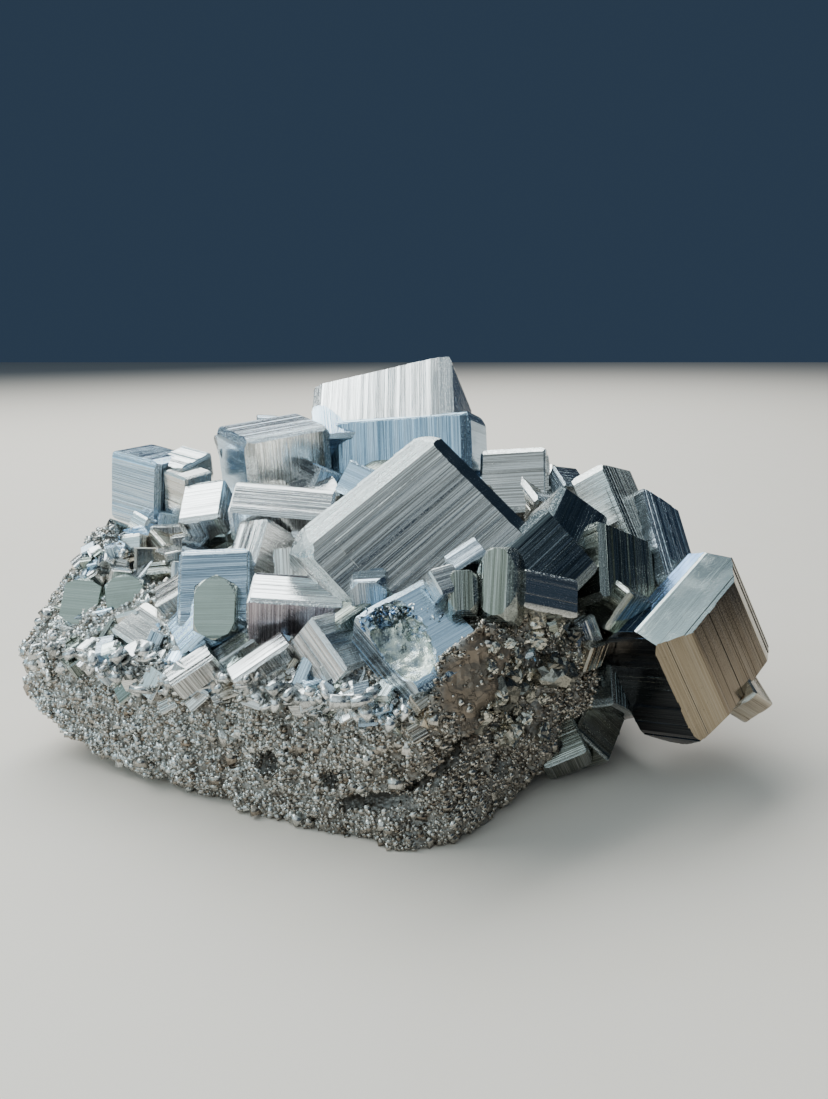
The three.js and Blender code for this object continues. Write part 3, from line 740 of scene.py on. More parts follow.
def shell_ball(at, reach):
    """A lumpy ball with shell-like ripples, to break out of a crystal."""
    mesh = bpy.data.meshes.new("shell")
    ball = bmesh.new()
    bmesh.ops.create_icosphere(ball, subdivisions=5, radius=1.0)
    ball.to_mesh(mesh)
    ball.free()
    points = vertex_array(mesh, "co") * np.array(reach)
    outward = points / np.linalg.norm(points, axis=1)[:, None]
    from_start = np.linalg.norm(points - np.array(reach) * RIPPLE_START, axis=1)
    wander = 1.2 * lump_noise(points / 1.9 + 3.0)
    ripple = RIPPLE_HEIGHT * np.sin(from_start * RIPPLE_PITCH + wander)
    rough = layered(points, SMOOTH_LAYERS if max(reach) > SMALL_HOLLOW else JAGGED_LAYERS)
    points = points + outward * (ripple + rough)[:, None] + np.array(at)
    mesh.vertices.foreach_set("co", points.ravel())
    mesh.update()
    return mesh


def chamfer(mesh, size, way, depth):
    """Cut a flat off the edge of a crystal that faces one way."""
    edge = Vector([math.copysign(side / 2, part) if part else 0.0 for side, part in zip(size, way)])
    work = bmesh.new()
    work.from_mesh(mesh)
    everything = [*work.verts, *work.edges, *work.faces]
    cut = bmesh.ops.bisect_plane(
        work, geom=everything, plane_co=edge - way * depth, plane_no=way, clear_outer=True)
    rim = [item for item in cut["geom_cut"] if isinstance(item, bmesh.types.BMEdge)]
    bmesh.ops.edgeloop_fill(work, edges=rim)
    work.to_mesh(mesh)
    work.free()


def crystal_mesh(crystal, seed):
    """A crystal with its growth ledges, in millimetres around its own centre."""
    rng = np.random.default_rng(seed)
    bevels = crystal.bevel or (sorted(crystal.size)[1] * BEVEL_SHARE,) * 3
    smooth = smooth_shares(crystal, seed)
    block = striped_block(crystal.size, bevels, crystal.rounding, rng, smooth)
    changes = [(ledge_mesh(crystal, bevels, rng), "UNION") for _ in range(crystal.ledges)]
    changes += [(shell_ball(at, reach), "DIFFERENCE") for at, reach in crystal.hollows]
    block = combined(block, changes) if changes else block
    for way, depth, _ in crystal.chamfers:
        chamfer(block, crystal.size, Vector(way).normalized(), depth)
    return block


def rotation(turn):
    """The matrix of a turn about Z, then X, then Y."""
    about_z, about_x, about_y = (math.radians(degrees) for degrees in turn)
    turned = Matrix.Rotation(about_z, 3, "Z") @ Matrix.Rotation(about_x, 3, "X")
    turned = turned @ Matrix.Rotation(about_y, 3, "Y")
    return turned


def vertex_array(mesh, key):
    values = np.empty(len(mesh.vertices) * 3)
    mesh.vertices.foreach_get(key, values)
    return values.reshape(-1, 3)


def polygon_array(mesh, key):
    values = np.empty(len(mesh.polygons) * 3)
    mesh.polygons.foreach_get(key, values)
    return values.reshape(-1, 3)


def corner_places(mesh):
    """The place of each corner of each face."""
    vertex_of_corner = np.empty(len(mesh.loops), dtype=np.int64)
    mesh.loops.foreach_get("vertex_index", vertex_of_corner)
    return vertex_array(mesh, "co")[vertex_of_corner]


HOLLOW_MARGIN = 1.25  # of a hollow's reach, which its lumps can pass
BROKEN_BELOW = 0.3  # faces this far under a crystal's sides are broken ones


def broken_faces(crystal, centres):
    """For each face, whether it lies in one of the crystal's hollows."""
    broken = np.zeros(len(centres), dtype=bool)
    deep = np.max(np.abs(centres) - np.array(crystal.size) / 2, axis=1) < -BROKEN_BELOW
    for at, reach in crystal.hollows:
        inside = np.linalg.norm((centres - np.array(at)) / np.array(reach), axis=1) < HOLLOW_MARGIN
        broken |= inside & deep
    return broken


def smooth_shares(crystal, seed):
    """How far the stripes are missing from the faces across each axis of a crystal."""
    if crystal.smoothness == 1:
        return [1.0, 1.0, 1.0]
    return [chance(seed * 3 + axis, 4) * crystal.smoothness for axis in range(3)]


def swatch_tone(finish, shade=1.0):
    """The colour of a finish, made lighter or darker, with an alpha of 1."""
    return np.append(np.clip(np.array(getattr(colours(), finish)) * shade, 0, 1), 1.0)


WORN_FROM = 0.985  # faces less square to the sides of a crystal than this start to look worn
WORN_STEEPNESS = 12  # how soon they look fully worn
DARKEST_SIDE = 0.94  # of the finish's tone, on the darkest side of a crystal
SIDE_RANGE = 0.12  # how much brighter the brightest side is


def face_looks(crystal, seed, normals, centres):
    """For each face of a crystal, how worn, broken and smooth it is, and its colour."""
    axis, side = facing(normals)
    square = np.abs(normals).max(axis=1)
    worn = np.clip((WORN_FROM - square) * WORN_STEEPNESS, 0, 1) * crystal.worn
    smooth = np.array(smooth_shares(crystal, seed))[axis]
    state = np.stack([worn, broken_faces(crystal, centres), smooth], axis=1)
    tones = np.empty((len(normals), 4))
    # Each side and bevel takes the swatch listed for it: a painted reflection, bright for a painted
    # highlight, black for painted shade
    for face_axis, face_side in itertools.product(range(3), (-1, 1)):
        label = ("-" if face_side < 0 else "+") + "xyz"[face_axis]
        here = (axis == face_axis) & (side == face_side)
        shade = DARKEST_SIDE + SIDE_RANGE * chance(seed, face_axis * 2 + face_side)
        tones[here] = swatch_tone(crystal.faces.get(label, crystal.finish), shade)
        bevel_reflection_swatch = crystal.faces.get(label + " bevel")
        if bevel_reflection_swatch:
            bevels = here & (square < BEVEL_LEAN)
            tones[bevels] = swatch_tone(bevel_reflection_swatch)
            state[bevels, 0] = 0.0
    # Chamfers take a swatch of their own, a painted reflection
    for way, _, finish in crystal.chamfers:
        cut = normals @ np.array(Vector(way).normalized()) > CHAMFER_MATCH
        tones[cut] = swatch_tone(finish)
        state[cut] = (0.0, 0.0, 1.0)
    return state, tones


def facing(normals):
    """The axis that each face looks along most closely, and whether it looks down or up it."""
    axis = np.abs(normals).argmax(axis=1)
    return axis, np.sign(normals[np.arange(len(normals)), axis])


def mark_faces(mesh, crystal, seed):
    """Write the stripe, state and tint attributes that the crystals' material reads."""
    normals = polygon_array(mesh, "normal")
    state, tones = face_looks(crystal, seed, normals, polygon_array(mesh, "center"))
    totals = np.empty(len(normals), dtype=np.int64)
    mesh.polygons.foreach_get("loop_total", totals)
    axis, side = (np.repeat(values, totals) for values in facing(normals))
    places = corner_places(mesh)
    corners = np.arange(len(places))
    across = places[corners, (axis + 2) % 3]
    along = places[corners, (axis + 1) % 3]
    stripes = np.stack([across, along, seed * 1.37 + axis * 5.1 + side * 2.3], axis=1)
    write_corner_attribute(mesh, "stripe", "FLOAT_VECTOR", stripes)
    write_corner_attribute(mesh, "state", "FLOAT_VECTOR", np.repeat(state, totals, axis=0))
    write_corner_attribute(mesh, "tint", "FLOAT_COLOR", np.repeat(tones, totals, axis=0))


def write_corner_attribute(mesh, name, kind, values):
    attribute = mesh.attributes.new(name, kind, "CORNER")
    key = "color" if kind == "FLOAT_COLOR" else "vector"
    attribute.data.foreach_set(key, np.asarray(values, dtype=np.float32).ravel())


def placed_crystal(crystal, seed):
    """A crystal's mesh in the frame, in metres, with the attributes of its finish."""
    mesh = crystal_mesh(crystal, seed)
    mark_faces(mesh, crystal, seed)
    turned = rotation(crystal.turn).to_4x4()
    mesh.transform(Matrix.Translation(Vector(crystal.at) * MM) @ turned @ Matrix.Scale(MM, 4))
    return mesh


def joined(name, meshes):
    """One mesh from several, keeping their attributes."""
    work = bmesh.new()
    for mesh in meshes:
        work.from_mesh(mesh)
    result = bpy.data.meshes.new(name)
    work.to_mesh(result)
    work.free()
    for mesh in meshes:
        bpy.data.meshes.remove(mesh)
    return result


def keep_above_floor(mesh):
    """Flatten whatever would reach through the floor."""
    places = vertex_array(mesh, "co")
    places[:, 2] = np.maximum(places[:, 2], 0.0)
    mesh.vertices.foreach_set("co", places.ravel())
    mesh.update()


def add_piece(name, mesh, finish):
    """Put a mesh in the scene as a piece of the specimen."""
    keep_above_floor(mesh)
    mesh.materials.clear()
    mesh.materials.append(finish)
    piece = bpy.data.objects.new(name, mesh)
    bpy.context.collection.objects.link(piece)
    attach(piece, BODY)
    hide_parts(NODE)


def field_crystals(field, field_index):
    """The crystals of a field, each with a place, size and turn of its own."""
    crystals = []
    start = Vector(field.start)
    for row in range(field.rows):
        for column in range(field.columns):
            index = field_index * 100 + row * field.columns + column
            share_across = (column + 0.5 + FIELD_JITTER * (chance(index, 1) - 0.5)) / field.columns
            share_down = (row + 0.5 + FIELD_JITTER * (chance(index, 2) - 0.5)) / field.rows
            at = start + Vector(field.across) * share_across + Vector(field.down) * share_down
            size = [field.least + (field.most - field.least) * chance(index, channel)
                    for channel in (3, 4, 5)]
            turn = [chance(index, 6) * 90, (chance(index, 7) - 0.5) * FIELD_TILT,
                    (chance(index, 8) - 0.5) * FIELD_TILT]
            if field.towards_window:
                turn[1] = turn[1] * WINDOW_SPREAD + WINDOW_LEAN * (1 - turn[0] / 45)
                turn[2] = turn[2] * WINDOW_SPREAD - WINDOW_LEAN
            finish = field.tints_and_painted_reflections[index % len(field.tints_and_painted_reflections)]
            name = f"{field.name}_{index}"
            crystals.append(Crystal(name, tuple(at), tuple(size), tuple(turn), finish))
    return crystals


def build_crystals(crystals, first_seed):
    """Add each crystal of a group as a piece of its own."""
    for index, crystal in enumerate(crystals):
        mesh = placed_crystal(crystal, first_seed + index)
        add_piece(crystal.name, mesh, material("pyrite_faces", crystal_material))


# Matrix

def lump_noise(points):
    """Smooth noise from -1 to 1, with lumps one unit apart."""
    cell = np.floor(points)
    within = points - cell
    ease = within * within * (3 - 2 * within)

    def corner(i, j, k):
        index = (cell[:, 0] + i) * 1.7 + (cell[:, 1] + j) * 9.2
        wave = np.sin(index * 12.9898 + (cell[:, 2] + k) * 3.3 * 78.233) * 43758.5453
        return wave - np.floor(wave)

    def blend(first, second, share):
        return first + (second - first) * share

    def edge(j, k):
        return blend(corner(0, j, k), corner(1, j, k), ease[:, 0])

    def side(k):
        return blend(edge(0, k), edge(1, k), ease[:, 1])

    return blend(side(0), side(1), ease[:, 2]) * 2 - 1


def layered(points, layers, shape=np.asarray):
    """Lumps of several sizes added up, each as its height, spacing and place in the noise."""
    return sum(height * shape(lump_noise(points / spacing + place))
               for height, spacing, place in layers)


def distance_to_path(points, path):
    """How far each point is from a path of straight stretches."""
    nearest = np.full(len(points), np.inf)
    for start, end in zip(path[:-1], path[1:]):
        way = end - start
        share = np.clip((points - start) @ way / (way @ way), 0, 1)
        gap = np.linalg.norm(points - start - share[:, None] * way, axis=1)
        nearest = np.minimum(nearest, gap)
    return nearest


def hull_of(corners):
    """A closed convex block around the corners, in metres."""
    work = bmesh.new()
    for corner in corners:
        work.verts.new(Vector(corner) * MM)
    hull = bmesh.ops.convex_hull(work, input=work.verts)
    loose = [item for item in hull["geom_interior"] if isinstance(item, bmesh.types.BMVert)]
    bmesh.ops.delete(work, geom=loose, context="VERTS")
    mesh = bpy.data.meshes.new("block")
    work.to_mesh(mesh)
    work.free()
    return mesh


def matrix_mesh():
    """The matrix in metres: its blocks remeshed finely as one, with lumps, pits and a crack."""
    corner_lists = (MATRIX_CORNERS, CRUST_CORNERS, BROWN_CORNERS)
    mesh = joined("matrix", [hull_of(corners) for corners in corner_lists])
    block = bpy.data.objects.new("matrix_block", mesh)
    bpy.context.collection.objects.link(block)
    remesh = block.modifiers.new("cells", "REMESH")
    remesh.mode = "VOXEL"
    remesh.voxel_size = sizes().matrix_cell * 1
    graph = bpy.context.evaluated_depsgraph_get()
    result = bpy.data.meshes.new_from_object(block.evaluated_get(graph))
    bpy.data.objects.remove(block)
    bpy.data.meshes.remove(mesh)
    roughen_matrix(result)
    return result


CRACK_VIEW = np.array((1.0, 0.25, 1.0))  # distances from the crack count less into the wall
CRACK_WANDER = ((0.4, 1.3, 41.0),)


def crack_depth(points):
    """How deep the crack is at each point, seen from the front; its edge wanders."""
    gap = distance_to_path(points * CRACK_VIEW, np.array(CRACK_PATH) * CRACK_VIEW)
    gap = gap + layered(points, CRACK_WANDER)
    opened = np.clip(1 - (np.maximum(gap, 0) / CRACK_REACH) ** 2, 0, 1)
    return opened * CRACK_DEPTH * (points[:, 1] < CRACK_BACK)


RUBBLE_EDGE = (1.15, 4.0)  # how far out of its reach rubble ends, and how steeply
MASSIVE_EDGE = (1.0, 5.0)  # the same for the massive ore
MASSIVE_WANDER = ((0.3, 2.6, 71.0),)


def rubble_share(points):
    """How far each point lies inside the part of the right wall that rubble sticks to."""
    gap = np.linalg.norm((points - np.array(RUBBLE_CENTRE)) / np.array(RUBBLE_REACH), axis=1)
    return np.clip((RUBBLE_EDGE[0] - gap) * RUBBLE_EDGE[1], 0.0, 1.0)


def massive_share(points):
    """How far the ore at each point is massive and brown, from 0 to 1."""
    gap = np.linalg.norm((points - np.array(MASSIVE_CENTRE)) / np.array(MASSIVE_REACH), axis=1)
    ragged = gap + layered(points, MASSIVE_WANDER)
    return np.clip((MASSIVE_EDGE[0] - ragged) * MASSIVE_EDGE[1], 0.0, 1.0)


FINE_LAYERS = ((0.36, 1.7, 31.0), (0.22, 0.8, 57.0))
LEDGY_LAYERS = ((0.5, 2.2, 13.0), (0.3, 1.1, 5.0))
LEDGY_LEVEL = 0.2  # where the ledges of the brown mass start
PIT_FLATTENING = (1.0, 0.35, 1.0)  # a pit is measured across, and less into the wall
PIT_MARGIN = 1.3  # of a pit's radius, where its edge starts to sink
PIT_DEPTH = 2.2  # of its radius


def roughen_matrix(mesh):
    """Move the points of the matrix, given in metres, into lumps, ledges, pits and the crack."""
    points = vertex_array(mesh, "co") / MM
    normals = vertex_array(mesh, "normal")
    outward = points - np.array(MATRIX_CENTRE)
    outward /= np.linalg.norm(outward, axis=1)[:, None]
    massive = massive_share(points)
    big = lump_noise(points / LUMP_SPACING)
    small = lump_noise(points / SMALL_LUMP_SPACING)
    coarse = sizes().matrix_lump / MM * (big + SMALL_LUMP_HEIGHT * small)
    fine = layered(points, FINE_LAYERS)
    ledgy = layered(points, LEDGY_LAYERS, shape=np.abs)
    fine = fine * (1 - massive) - (ledgy - LEDGY_LEVEL) * massive
    moved = points + outward * coarse[:, None] + normals * fine[:, None]
    for centre, radius in PITS:
        gap = np.linalg.norm((moved - np.array(centre)) * PIT_FLATTENING, axis=1)
        depth = np.clip(1 - (gap / (radius * PIT_MARGIN)) ** 2, 0, 1) * radius * PIT_DEPTH
        moved -= normals * depth[:, None]
    moved -= outward * crack_depth(moved)[:, None]
    moved[:, 2] = np.maximum(moved[:, 2], 0.0)
    mesh.vertices.foreach_set("co", (moved * MM).ravel())
    mesh.update()
    mesh.attributes.new("massive", "FLOAT", "POINT").data.foreach_set("value", massive)


# Grains, chips, shards and rubble

SPOT_JITTER = 0.25  # how far the spots stray from the middle of a face


def surface_spots(mesh, count, rng, wanted):
    """Random places on a mesh, evenly by area, on faces that wanted lets through."""
    centres = polygon_array(mesh, "center")
    normals = polygon_array(mesh, "normal")
    areas = np.empty(len(normals))
    mesh.polygons.foreach_get("area", areas)
    weights = areas * wanted(centres / MM, normals)
    chosen = rng.choice(len(normals), size=count, p=weights / weights.sum())
    jitter = rng.normal(0.0, SPOT_JITTER * MM, (count, 3))
    jitter -= (jitter * normals[chosen]).sum(axis=1)[:, None] * normals[chosen]
    return centres[chosen] + jitter, normals[chosen]


def random_turns(rng, count):
    """Turning matrices spread evenly over all directions."""
    quaternions = rng.normal(size=(count, 4))
    quaternions /= np.linalg.norm(quaternions, axis=1)[:, None]
    w, x, y, z = quaternions.T
    return np.stack([
        1 - 2 * (y * y + z * z), 2 * (x * y - w * z), 2 * (x * z + w * y),
        2 * (x * y + w * z), 1 - 2 * (x * x + z * z), 2 * (y * z - w * x),
        2 * (x * z - w * y), 2 * (y * z + w * x), 1 - 2 * (x * x + y * y),
    ], axis=1).reshape(count, 3, 3)


BOX_CORNERS = np.array(list(itertools.product((-1.0, 1.0), repeat=3)))[:, ::-1]
BOX_QUADS = np.array(
    [(0, 2, 3, 1), (4, 5, 7, 6), (0, 1, 5, 4), (2, 6, 7, 3), (0, 4, 6, 2), (1, 3, 7, 5)])


def turned_boxes(name, centres, half_sizes, rng, tones, skew=0.0):
    """Many small boxes in all directions, as one mesh with a tint for each box."""
    count = len(centres)
    corners = BOX_CORNERS[None] * half_sizes[:, None, :]
    corners *= rng.uniform(1.0 - skew, 1.0, corners.shape)
    points = np.einsum("nij,nkj->nki", random_turns(rng, count), corners) + centres[:, None, :]
    faces = (BOX_QUADS[None] + np.arange(count)[:, None, None] * len(BOX_CORNERS)).reshape(-1, 4)
    mesh = bpy.data.meshes.new(name)
    mesh.vertices.add(count * len(BOX_CORNERS))
    mesh.vertices.foreach_set("co", points.ravel())
    mesh.loops.add(faces.size)
    mesh.loops.foreach_set("vertex_index", faces.ravel())
    mesh.polygons.add(len(faces))
    mesh.polygons.foreach_set("loop_start", np.arange(len(faces)) * 4)
    mesh.update(calc_edges=True)
    tints = np.repeat(np.concatenate([tones, np.ones((count, 1))], axis=1), BOX_QUADS.size, axis=0)
    write_corner_attribute(mesh, "tint", "FLOAT_COLOR", tints)
    return mesh


RUBBLE_SIZE = 1.15  # half the usual width of a lump
RUBBLE_SPREAD = 0.45  # how much the lumps differ in size
BREAKS = 9  # flats broken off a lump


def broken_lump(centre, reach, rng):
    """One angular lump: a ball of facets, flattened by a few random breaks."""
    work = bmesh.new()
    bmesh.ops.create_icosphere(work, subdivisions=3, radius=1.0)
    points = np.array([vertex.co[:] for vertex in work.verts])
    for _ in range(BREAKS):
        way = rng.normal(size=3)
        way /= np.linalg.norm(way)
        over = np.maximum(points @ way - rng.uniform(0.45, 0.8), 0.0)
        points -= over[:, None] * way
    points *= rng.uniform(0.7, 1.15, 3)
    points += 0.05 * rng.normal(size=points.shape)
    for vertex, point in zip(work.verts, points):
        vertex.co = point * reach + centre
    mesh = bpy.data.meshes.new("lump")
    work.to_mesh(mesh)
    work.free()
    return mesh


GRAIN_PIECES = (("grains_front_left", 0.38), ("grains_front_right", 0.38), ("grains_back", 0.24))
GRAIN_SPREAD = 0.42  # how much the grains differ in size
FRONT_FACING = 0.1  # faces of the matrix that look less than this to the back are its front
LEFT_END = -14  # the grains to the left of this are a piece of their own
# Palest grain tones at the two ends: partly the ore's own colour, partly painted light, pale and cool
# where the window lights the left end, brown where the right end lies in shade
COOL_LIT_GRAINS = np.array((0.88, 0.93, 0.93))
WARM_SHADED_GRAINS = np.array((0.66, 0.61, 0.53))


def grain_share(centres, normals):
    """How thickly grains lie: thinner on tops, brown ore and rubble, and few in the crack."""
    standing = (centres[:, 2] > 0.2) * np.where(normals[:, 2] < 0.75, 1.0, 0.5)
    in_crack = crack_depth(centres) > 0.25 * CRACK_DEPTH
    bare = np.maximum(massive_share(centres) * 0.93, rubble_share(centres) * 0.55)
    return standing * (1 - 0.95 * in_crack) * (1 - bare)


def grain_place(name, centres, normals):
    """Whether each face of the matrix belongs to the piece of grains with this name."""
    front = normals[:, 1] < FRONT_FACING
    left = centres[:, 0] < LEFT_END
    places = {"grains_front_left": front & left, "grains_front_right": front & ~left}
    return places.get(name, ~front)


def grain_tones(spots, rng):
    """Shades from dark to bright, cooler and lighter at the left end and browner and darker at the
    right: partly the ore's own tones, partly painted window light and shade.
    """
    rightward = np.clip((spots[:, :1] / MM + 45) / 60, 0, 1)
    share = rng.beta(1.1, 1.1, (len(spots), 1))
    light = COOL_LIT_GRAINS + (WARM_SHADED_GRAINS - COOL_LIT_GRAINS) * rightward
    # Painted light: the darkest grains are lighter at the left end, under the window, than at the right
    dark = np.array(colours().matrix_dark) * (2.4 - 1.3 * rightward)
    return dark + (light - dark) * share


def grain_mesh(matrix, name, count, rng):
    """The grains of one piece, sunk a little into the matrix."""
    def wanted(centres, normals):
        return grain_share(centres, normals) * grain_place(name, centres, normals)

    spots, normals = surface_spots(matrix.data, count, rng, wanted)
    size = sizes().grain_size * np.exp(rng.normal(0.0, GRAIN_SPREAD, (count, 1)))
    half_sizes = size * rng.uniform(0.35, 0.85, (count, 3))
    spots = spots + normals * size * rng.uniform(-0.5, 0.1, (count, 1))
    return turned_boxes(name, spots, half_sizes, rng, grain_tones(spots, rng), skew=0.16)


# The line along which the crystals meet the matrix, and how far along it each point is
CHIP_PATH = ((-60, -4, 16), (-22, -22.5, 17.5), (1, -29.5, 17.5))
CHIP_SHARES = (0, 0.66, 1)
CHIP_SCATTER = (1.0, 1.4, 1.3)
SHARD_SCATTER = (0.25, 0.55, 0.5)
SHARD_SIZE = np.array((0.16, 0.35, 0.6))


def spots_along(path, path_shares, scatter, count, rng):
    """Random places scattered around a path."""
    shares = rng.random(count)
    columns = [np.interp(shares, path_shares, column) for column in zip(*path)]
    return np.stack(columns, axis=1) + rng.normal(0, 1, (count, 3)) * scatter


# Stage

CAMERA_PLACE = (0.0, -0.1266, 0.065)
CAMERA_PITCH = 15  # degrees below level
PHOTO_HEIGHT = 1099
FOCAL_PIXELS = 830
SENSOR = 36.0
FLOOR_SIDE = 3.0
LIGHTS_AIM = Vector((0, 0, 0.03))

# Name, azimuth, elevation, distance, width, height, radiance and colour of each light
SOFTBOXES = (
    ("window", -36, 50, 0.8, 1.45, 0.45, 8.0, (0.90, 0.98, 1.0)),
    ("ceiling", 180, 84, 0.9, 1.3, 1.1, 0.66, (0.78, 0.94, 1.0)),
    ("left_wall", -104, 20, 1.1, 1.0, 0.8, 1.25, (0.62, 0.88, 1.0)),
    ("front_left", -150, 30, 1.1, 1.2, 0.9, 1.15, (0.80, 0.95, 1.0)),
)


def add_floor():
    half = FLOOR_SIDE / 2
    points = [(-half, -half, 0), (half, -half, 0), (half, half, 0), (-half, half, 0)]
    mesh = mesh_from("floor", points, [(0, 1, 2, 3)])
    mesh.materials.append(material("pale_floor", floor_material))
    floor = bpy.data.objects.new("floor", mesh)
    bpy.context.collection.objects.link(floor)


def add_softbox(name, azimuth, elevation, distance, width, height, radiance, colour):
    """A rectangular light facing the specimen; azimuth 0 is behind it and 90 at its right."""
    turn = math.radians(azimuth)
    lift = math.radians(elevation)
    way = Vector((math.sin(turn) * math.cos(lift), math.cos(turn) * math.cos(lift), math.sin(lift)))
    light = bpy.data.lights.new(name, "AREA")
    light.shape = "RECTANGLE"
    light.size = width
    light.size_y = height
    light.energy = radiance * math.pi * width * height
    light.color = colour
    lamp = bpy.data.objects.new(name, light)
    lamp.location = way * distance + LIGHTS_AIM
    lamp.rotation_euler = way.to_track_quat("Z", "Y").to_euler()
    bpy.context.collection.objects.link(lamp)


def add_lights():
    """Four softboxes, and a dim even light from all around."""
    for softbox in SOFTBOXES:
        add_softbox(*softbox)
    world = bpy.data.worlds.new("soft_room")
    world.use_nodes = True
    background = world.node_tree.nodes["Background"]
    background.inputs["Color"].default_value = opaque(colours().backdrop)
    background.inputs["Strength"].default_value = 1.0
    bpy.context.scene.world = world


def add_camera():
    """The camera that sees the specimen as the photograph does."""
    camera = bpy.data.cameras.new("camera")
    camera.sensor_fit = "VERTICAL"
    camera.sensor_height = SENSOR
    camera.lens = SENSOR * FOCAL_PIXELS / PHOTO_HEIGHT
    camera.clip_start = 0.005
    camera.clip_end = 20
    holder = bpy.data.objects.new("camera", camera)
    holder.location = CAMERA_PLACE
    holder.rotation_euler = Euler((math.radians(90 - CAMERA_PITCH), 0, 0))
    bpy.context.collection.objects.link(holder)
    bpy.context.scene.camera = holder


# Operators

class PYRITE_OT_matrix(bpy.types.Operator):
    """Make the granular matrix that the crystals stand on"""

    bl_idname = "pyrite.matrix"
    bl_label = "Matrix"

    def execute(self, context):
        add_piece("matrix", matrix_mesh(), material("matrix_ground", matrix_material))
        return {"FINISHED"}


class PYRITE_OT_grains(bpy.types.Operator):
    """Cover the walls of the matrix with sparkling grains"""

    bl_idname = "pyrite.grains"
    bl_label = "Grains"

    def execute(self, context):
        matrix = bpy.data.objects.get("matrix")
        if matrix is None:
            raise RuntimeError("the grains need the matrix first")
        rng = np.random.default_rng(41)
        total = sizes().grain_count // 1
        for name, share in GRAIN_PIECES:
            mesh = grain_mesh(matrix, name, int(total * share), rng)
            add_piece(name, mesh, material("matrix_grains", grain_material))
        return {"FINISHED"}


class PYRITE_OT_chips(bpy.types.Operator):
    """Scatter slivers and chips where the crystals meet the matrix"""

    bl_idname = "pyrite.chips"
    bl_label = "Chips"

    def execute(self, context):
        rng = np.random.default_rng(77)
        count = sizes().chip_count
        centres = spots_along(CHIP_PATH, CHIP_SHARES, CHIP_SCATTER, count, rng)
        half_sizes = np.exp(rng.normal(-0.4, 0.4, (count, 1))) * rng.uniform(0.25, 1.1, (count, 3))
        # Painted glints: the chips take the bright swatch, a painted highlight white, dimmed at random
        tones = np.array(colours().bright) * rng.uniform(0.5, 1.0, (count, 1))
        mesh = turned_boxes("chips", centres * MM, half_sizes * MM, rng, np.clip(tones, 0, 1))
        add_piece("chips", mesh, material("matrix_grains", grain_material))
        return {"FINISHED"}


class PYRITE_OT_rubble(bpy.types.Operator):
    """Set broken lumps into the right wall of the matrix"""

    bl_idname = "pyrite.rubble"
    bl_label = "Rubble"

    def execute(self, context):
        matrix = bpy.data.objects.get("matrix")
        if matrix is None:
            raise RuntimeError("the rubble needs the matrix first")
        rng = np.random.default_rng(59)
        count = sizes().rubble_count

        def on_right_wall(centres, normals):
            return rubble_share(centres) * (normals[:, 1] < 0.2)

        spots, _ = surface_spots(matrix.data, count, rng, on_right_wall)
        reaches = RUBBLE_SIZE * MM * np.exp(rng.normal(0.0, RUBBLE_SPREAD, count))
        lumps = []
        for spot, reach in zip(spots, reaches):
            lump = broken_lump(spot, reach, rng)
            tone = np.append(RUBBLE_TONE * rng.uniform(0.3, 1.6), 1.0)
            write_corner_attribute(lump, "tint", "FLOAT_COLOR", np.tile(tone, (len(lump.loops), 1)))
            lumps.append(lump)
        add_piece("rubble", joined("rubble", lumps), material("matrix_grains", grain_material))
        return {"FINISHED"}


class PYRITE_OT_shards(bpy.types.Operator):
    """Set dark and bright shards along the broken edge in the face of the broken cube"""

    bl_idname = "pyrite.shards"
    bl_label = "Shards"

    def execute(self, context):
        cube = next(crystal for crystal in FRONT_CRYSTALS if crystal.name == "broken_cube")
        rng = np.random.default_rng(23)
        count = sizes().shard_count
        places = spots_along(SHARD_PATH, SHARD_SHARES, SHARD_SCATTER, count, rng)
        turned = np.array(rotation(cube.turn))
        centres = (places @ turned.T + np.array(cube.at)) * MM
        half_sizes = rng.uniform(0.4, 1.0, (count, 3)) * SHARD_SIZE * MM
        # Painted reflections and glints: navy, cobalt and steel paint reflections, bright paints a
        # white highlight
        palette = [colours().navy, colours().cobalt, colours().bright, colours().steel]
        tones = np.array([palette[choice][:] for choice in rng.integers(0, len(palette), count)])
        mesh = turned_boxes("shards", centres, half_sizes, rng, tones, skew=0.5)
        add_piece("shards", mesh, material("matrix_grains", grain_material))
        return {"FINISHED"}


class PYRITE_OT_front_crystals(bpy.types.Operator):
    """Grow the big front cube and the crystals around it"""

    bl_idname = "pyrite.front_crystals"
    bl_label = "Front crystals"

    def execute(self, context):
        build_crystals(FRONT_CRYSTALS, 100)
        return {"FINISHED"}


class PYRITE_OT_right_crystals(bpy.types.Operator):
    """Grow the big right cube and the dark crystals beside it"""

    bl_idname = "pyrite.right_crystals"
    bl_label = "Right crystals"

    def execute(self, context):
        build_crystals(RIGHT_CRYSTALS, 200)
        return {"FINISHED"}


class PYRITE_OT_top_crystals(bpy.types.Operator):
    """Grow the tall crystals along the top"""

    bl_idname = "pyrite.top_crystals"
    bl_label = "Top crystals"

    def execute(self, context):
        build_crystals(TOP_CRYSTALS, 300)
        return {"FINISHED"}


class PYRITE_OT_left_crystals(bpy.types.Operator):
    """Grow the small bright crystals at the left"""

    bl_idname = "pyrite.left_crystals"
    bl_label = "Left crystals"

    def execute(self, context):
        build_crystals(LEFT_CRYSTALS, 400)
        return {"FINISHED"}


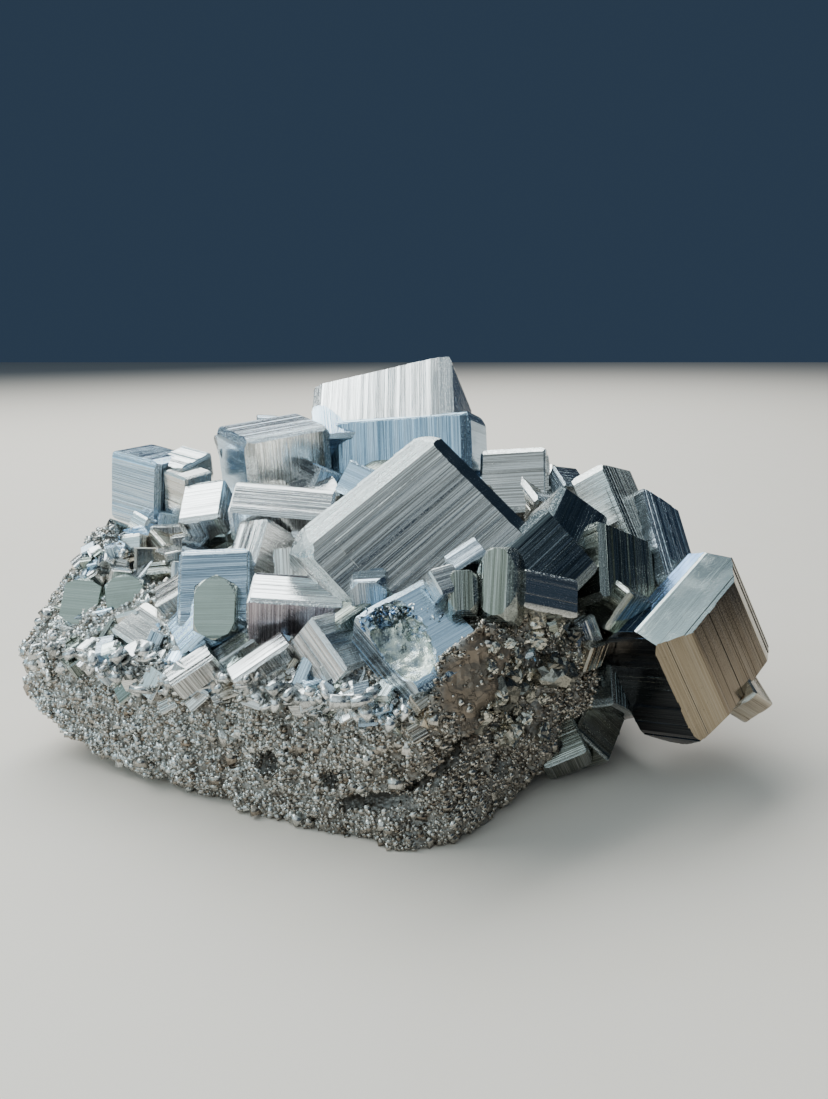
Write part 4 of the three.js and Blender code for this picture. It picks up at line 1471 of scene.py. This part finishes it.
class PYRITE_OT_fields(bpy.types.Operator):
    """Fill the gaps and the back with fields of smaller crystals"""

    bl_idname = "pyrite.fields"
    bl_label = "Fields"

    def execute(self, context):
        for field_index, field in enumerate(FIELDS):
            crystals = field_crystals(field, field_index)
            seed = 500 + field_index * 100
            meshes = [placed_crystal(crystal, seed + index) for index, crystal in enumerate(crystals)]
            mesh = joined(field.name, meshes)
            add_piece(field.name, mesh, material("pyrite_faces", crystal_material))
        return {"FINISHED"}


class PYRITE_OT_stage(bpy.types.Operator):
    """Set the plain pale floor, the soft studio light and the camera"""

    bl_idname = "pyrite.stage"
    bl_label = "Stage"

    def execute(self, context):
        add_floor()
        add_lights()
        add_camera()
        return {"FINISHED"}


OPERATORS = (
    PYRITE_OT_matrix, PYRITE_OT_grains, PYRITE_OT_chips, PYRITE_OT_rubble, PYRITE_OT_shards,
    PYRITE_OT_front_crystals, PYRITE_OT_right_crystals, PYRITE_OT_top_crystals,
    PYRITE_OT_left_crystals, PYRITE_OT_fields, PYRITE_OT_stage,
)


class PYRITE_PT_panel(bpy.types.Panel):
    """The steps that build the specimen, in order"""

    bl_idname = "PYRITE_PT_panel"
    bl_label = "Pyrite cluster"
    bl_space_type = "VIEW_3D"
    bl_region_type = "UI"
    bl_category = "Pyrite"

    def draw(self, context):
        for operator in OPERATORS:
            self.layout.operator(operator.bl_idname)
        for group in (context.scene.specimen_sizes, context.scene.specimen_colours):
            for name in group.__annotations__:
                self.layout.prop(group, name)


CLASSES = (SpecimenSizes, SpecimenColours, *OPERATORS, PYRITE_PT_panel)


def register():
    for item in CLASSES:
        bpy.utils.register_class(item)
    bpy.types.Scene.specimen_sizes = bpy.props.PointerProperty(type=SpecimenSizes)
    bpy.types.Scene.specimen_colours = bpy.props.PointerProperty(type=SpecimenColours)


def unregister():
    del bpy.types.Scene.specimen_sizes
    del bpy.types.Scene.specimen_colours
    for item in reversed(CLASSES):
        bpy.utils.unregister_class(item)


def main():
    register()
    bpy.ops.pyrite.matrix()
    bpy.ops.pyrite.grains()
    bpy.ops.pyrite.chips()
    bpy.ops.pyrite.rubble()
    bpy.ops.pyrite.shards()
    bpy.ops.pyrite.front_crystals()
    bpy.ops.pyrite.right_crystals()
    bpy.ops.pyrite.top_crystals()
    bpy.ops.pyrite.left_crystals()
    bpy.ops.pyrite.fields()
    bpy.ops.pyrite.stage()


if __name__ == "__main__":
    main()
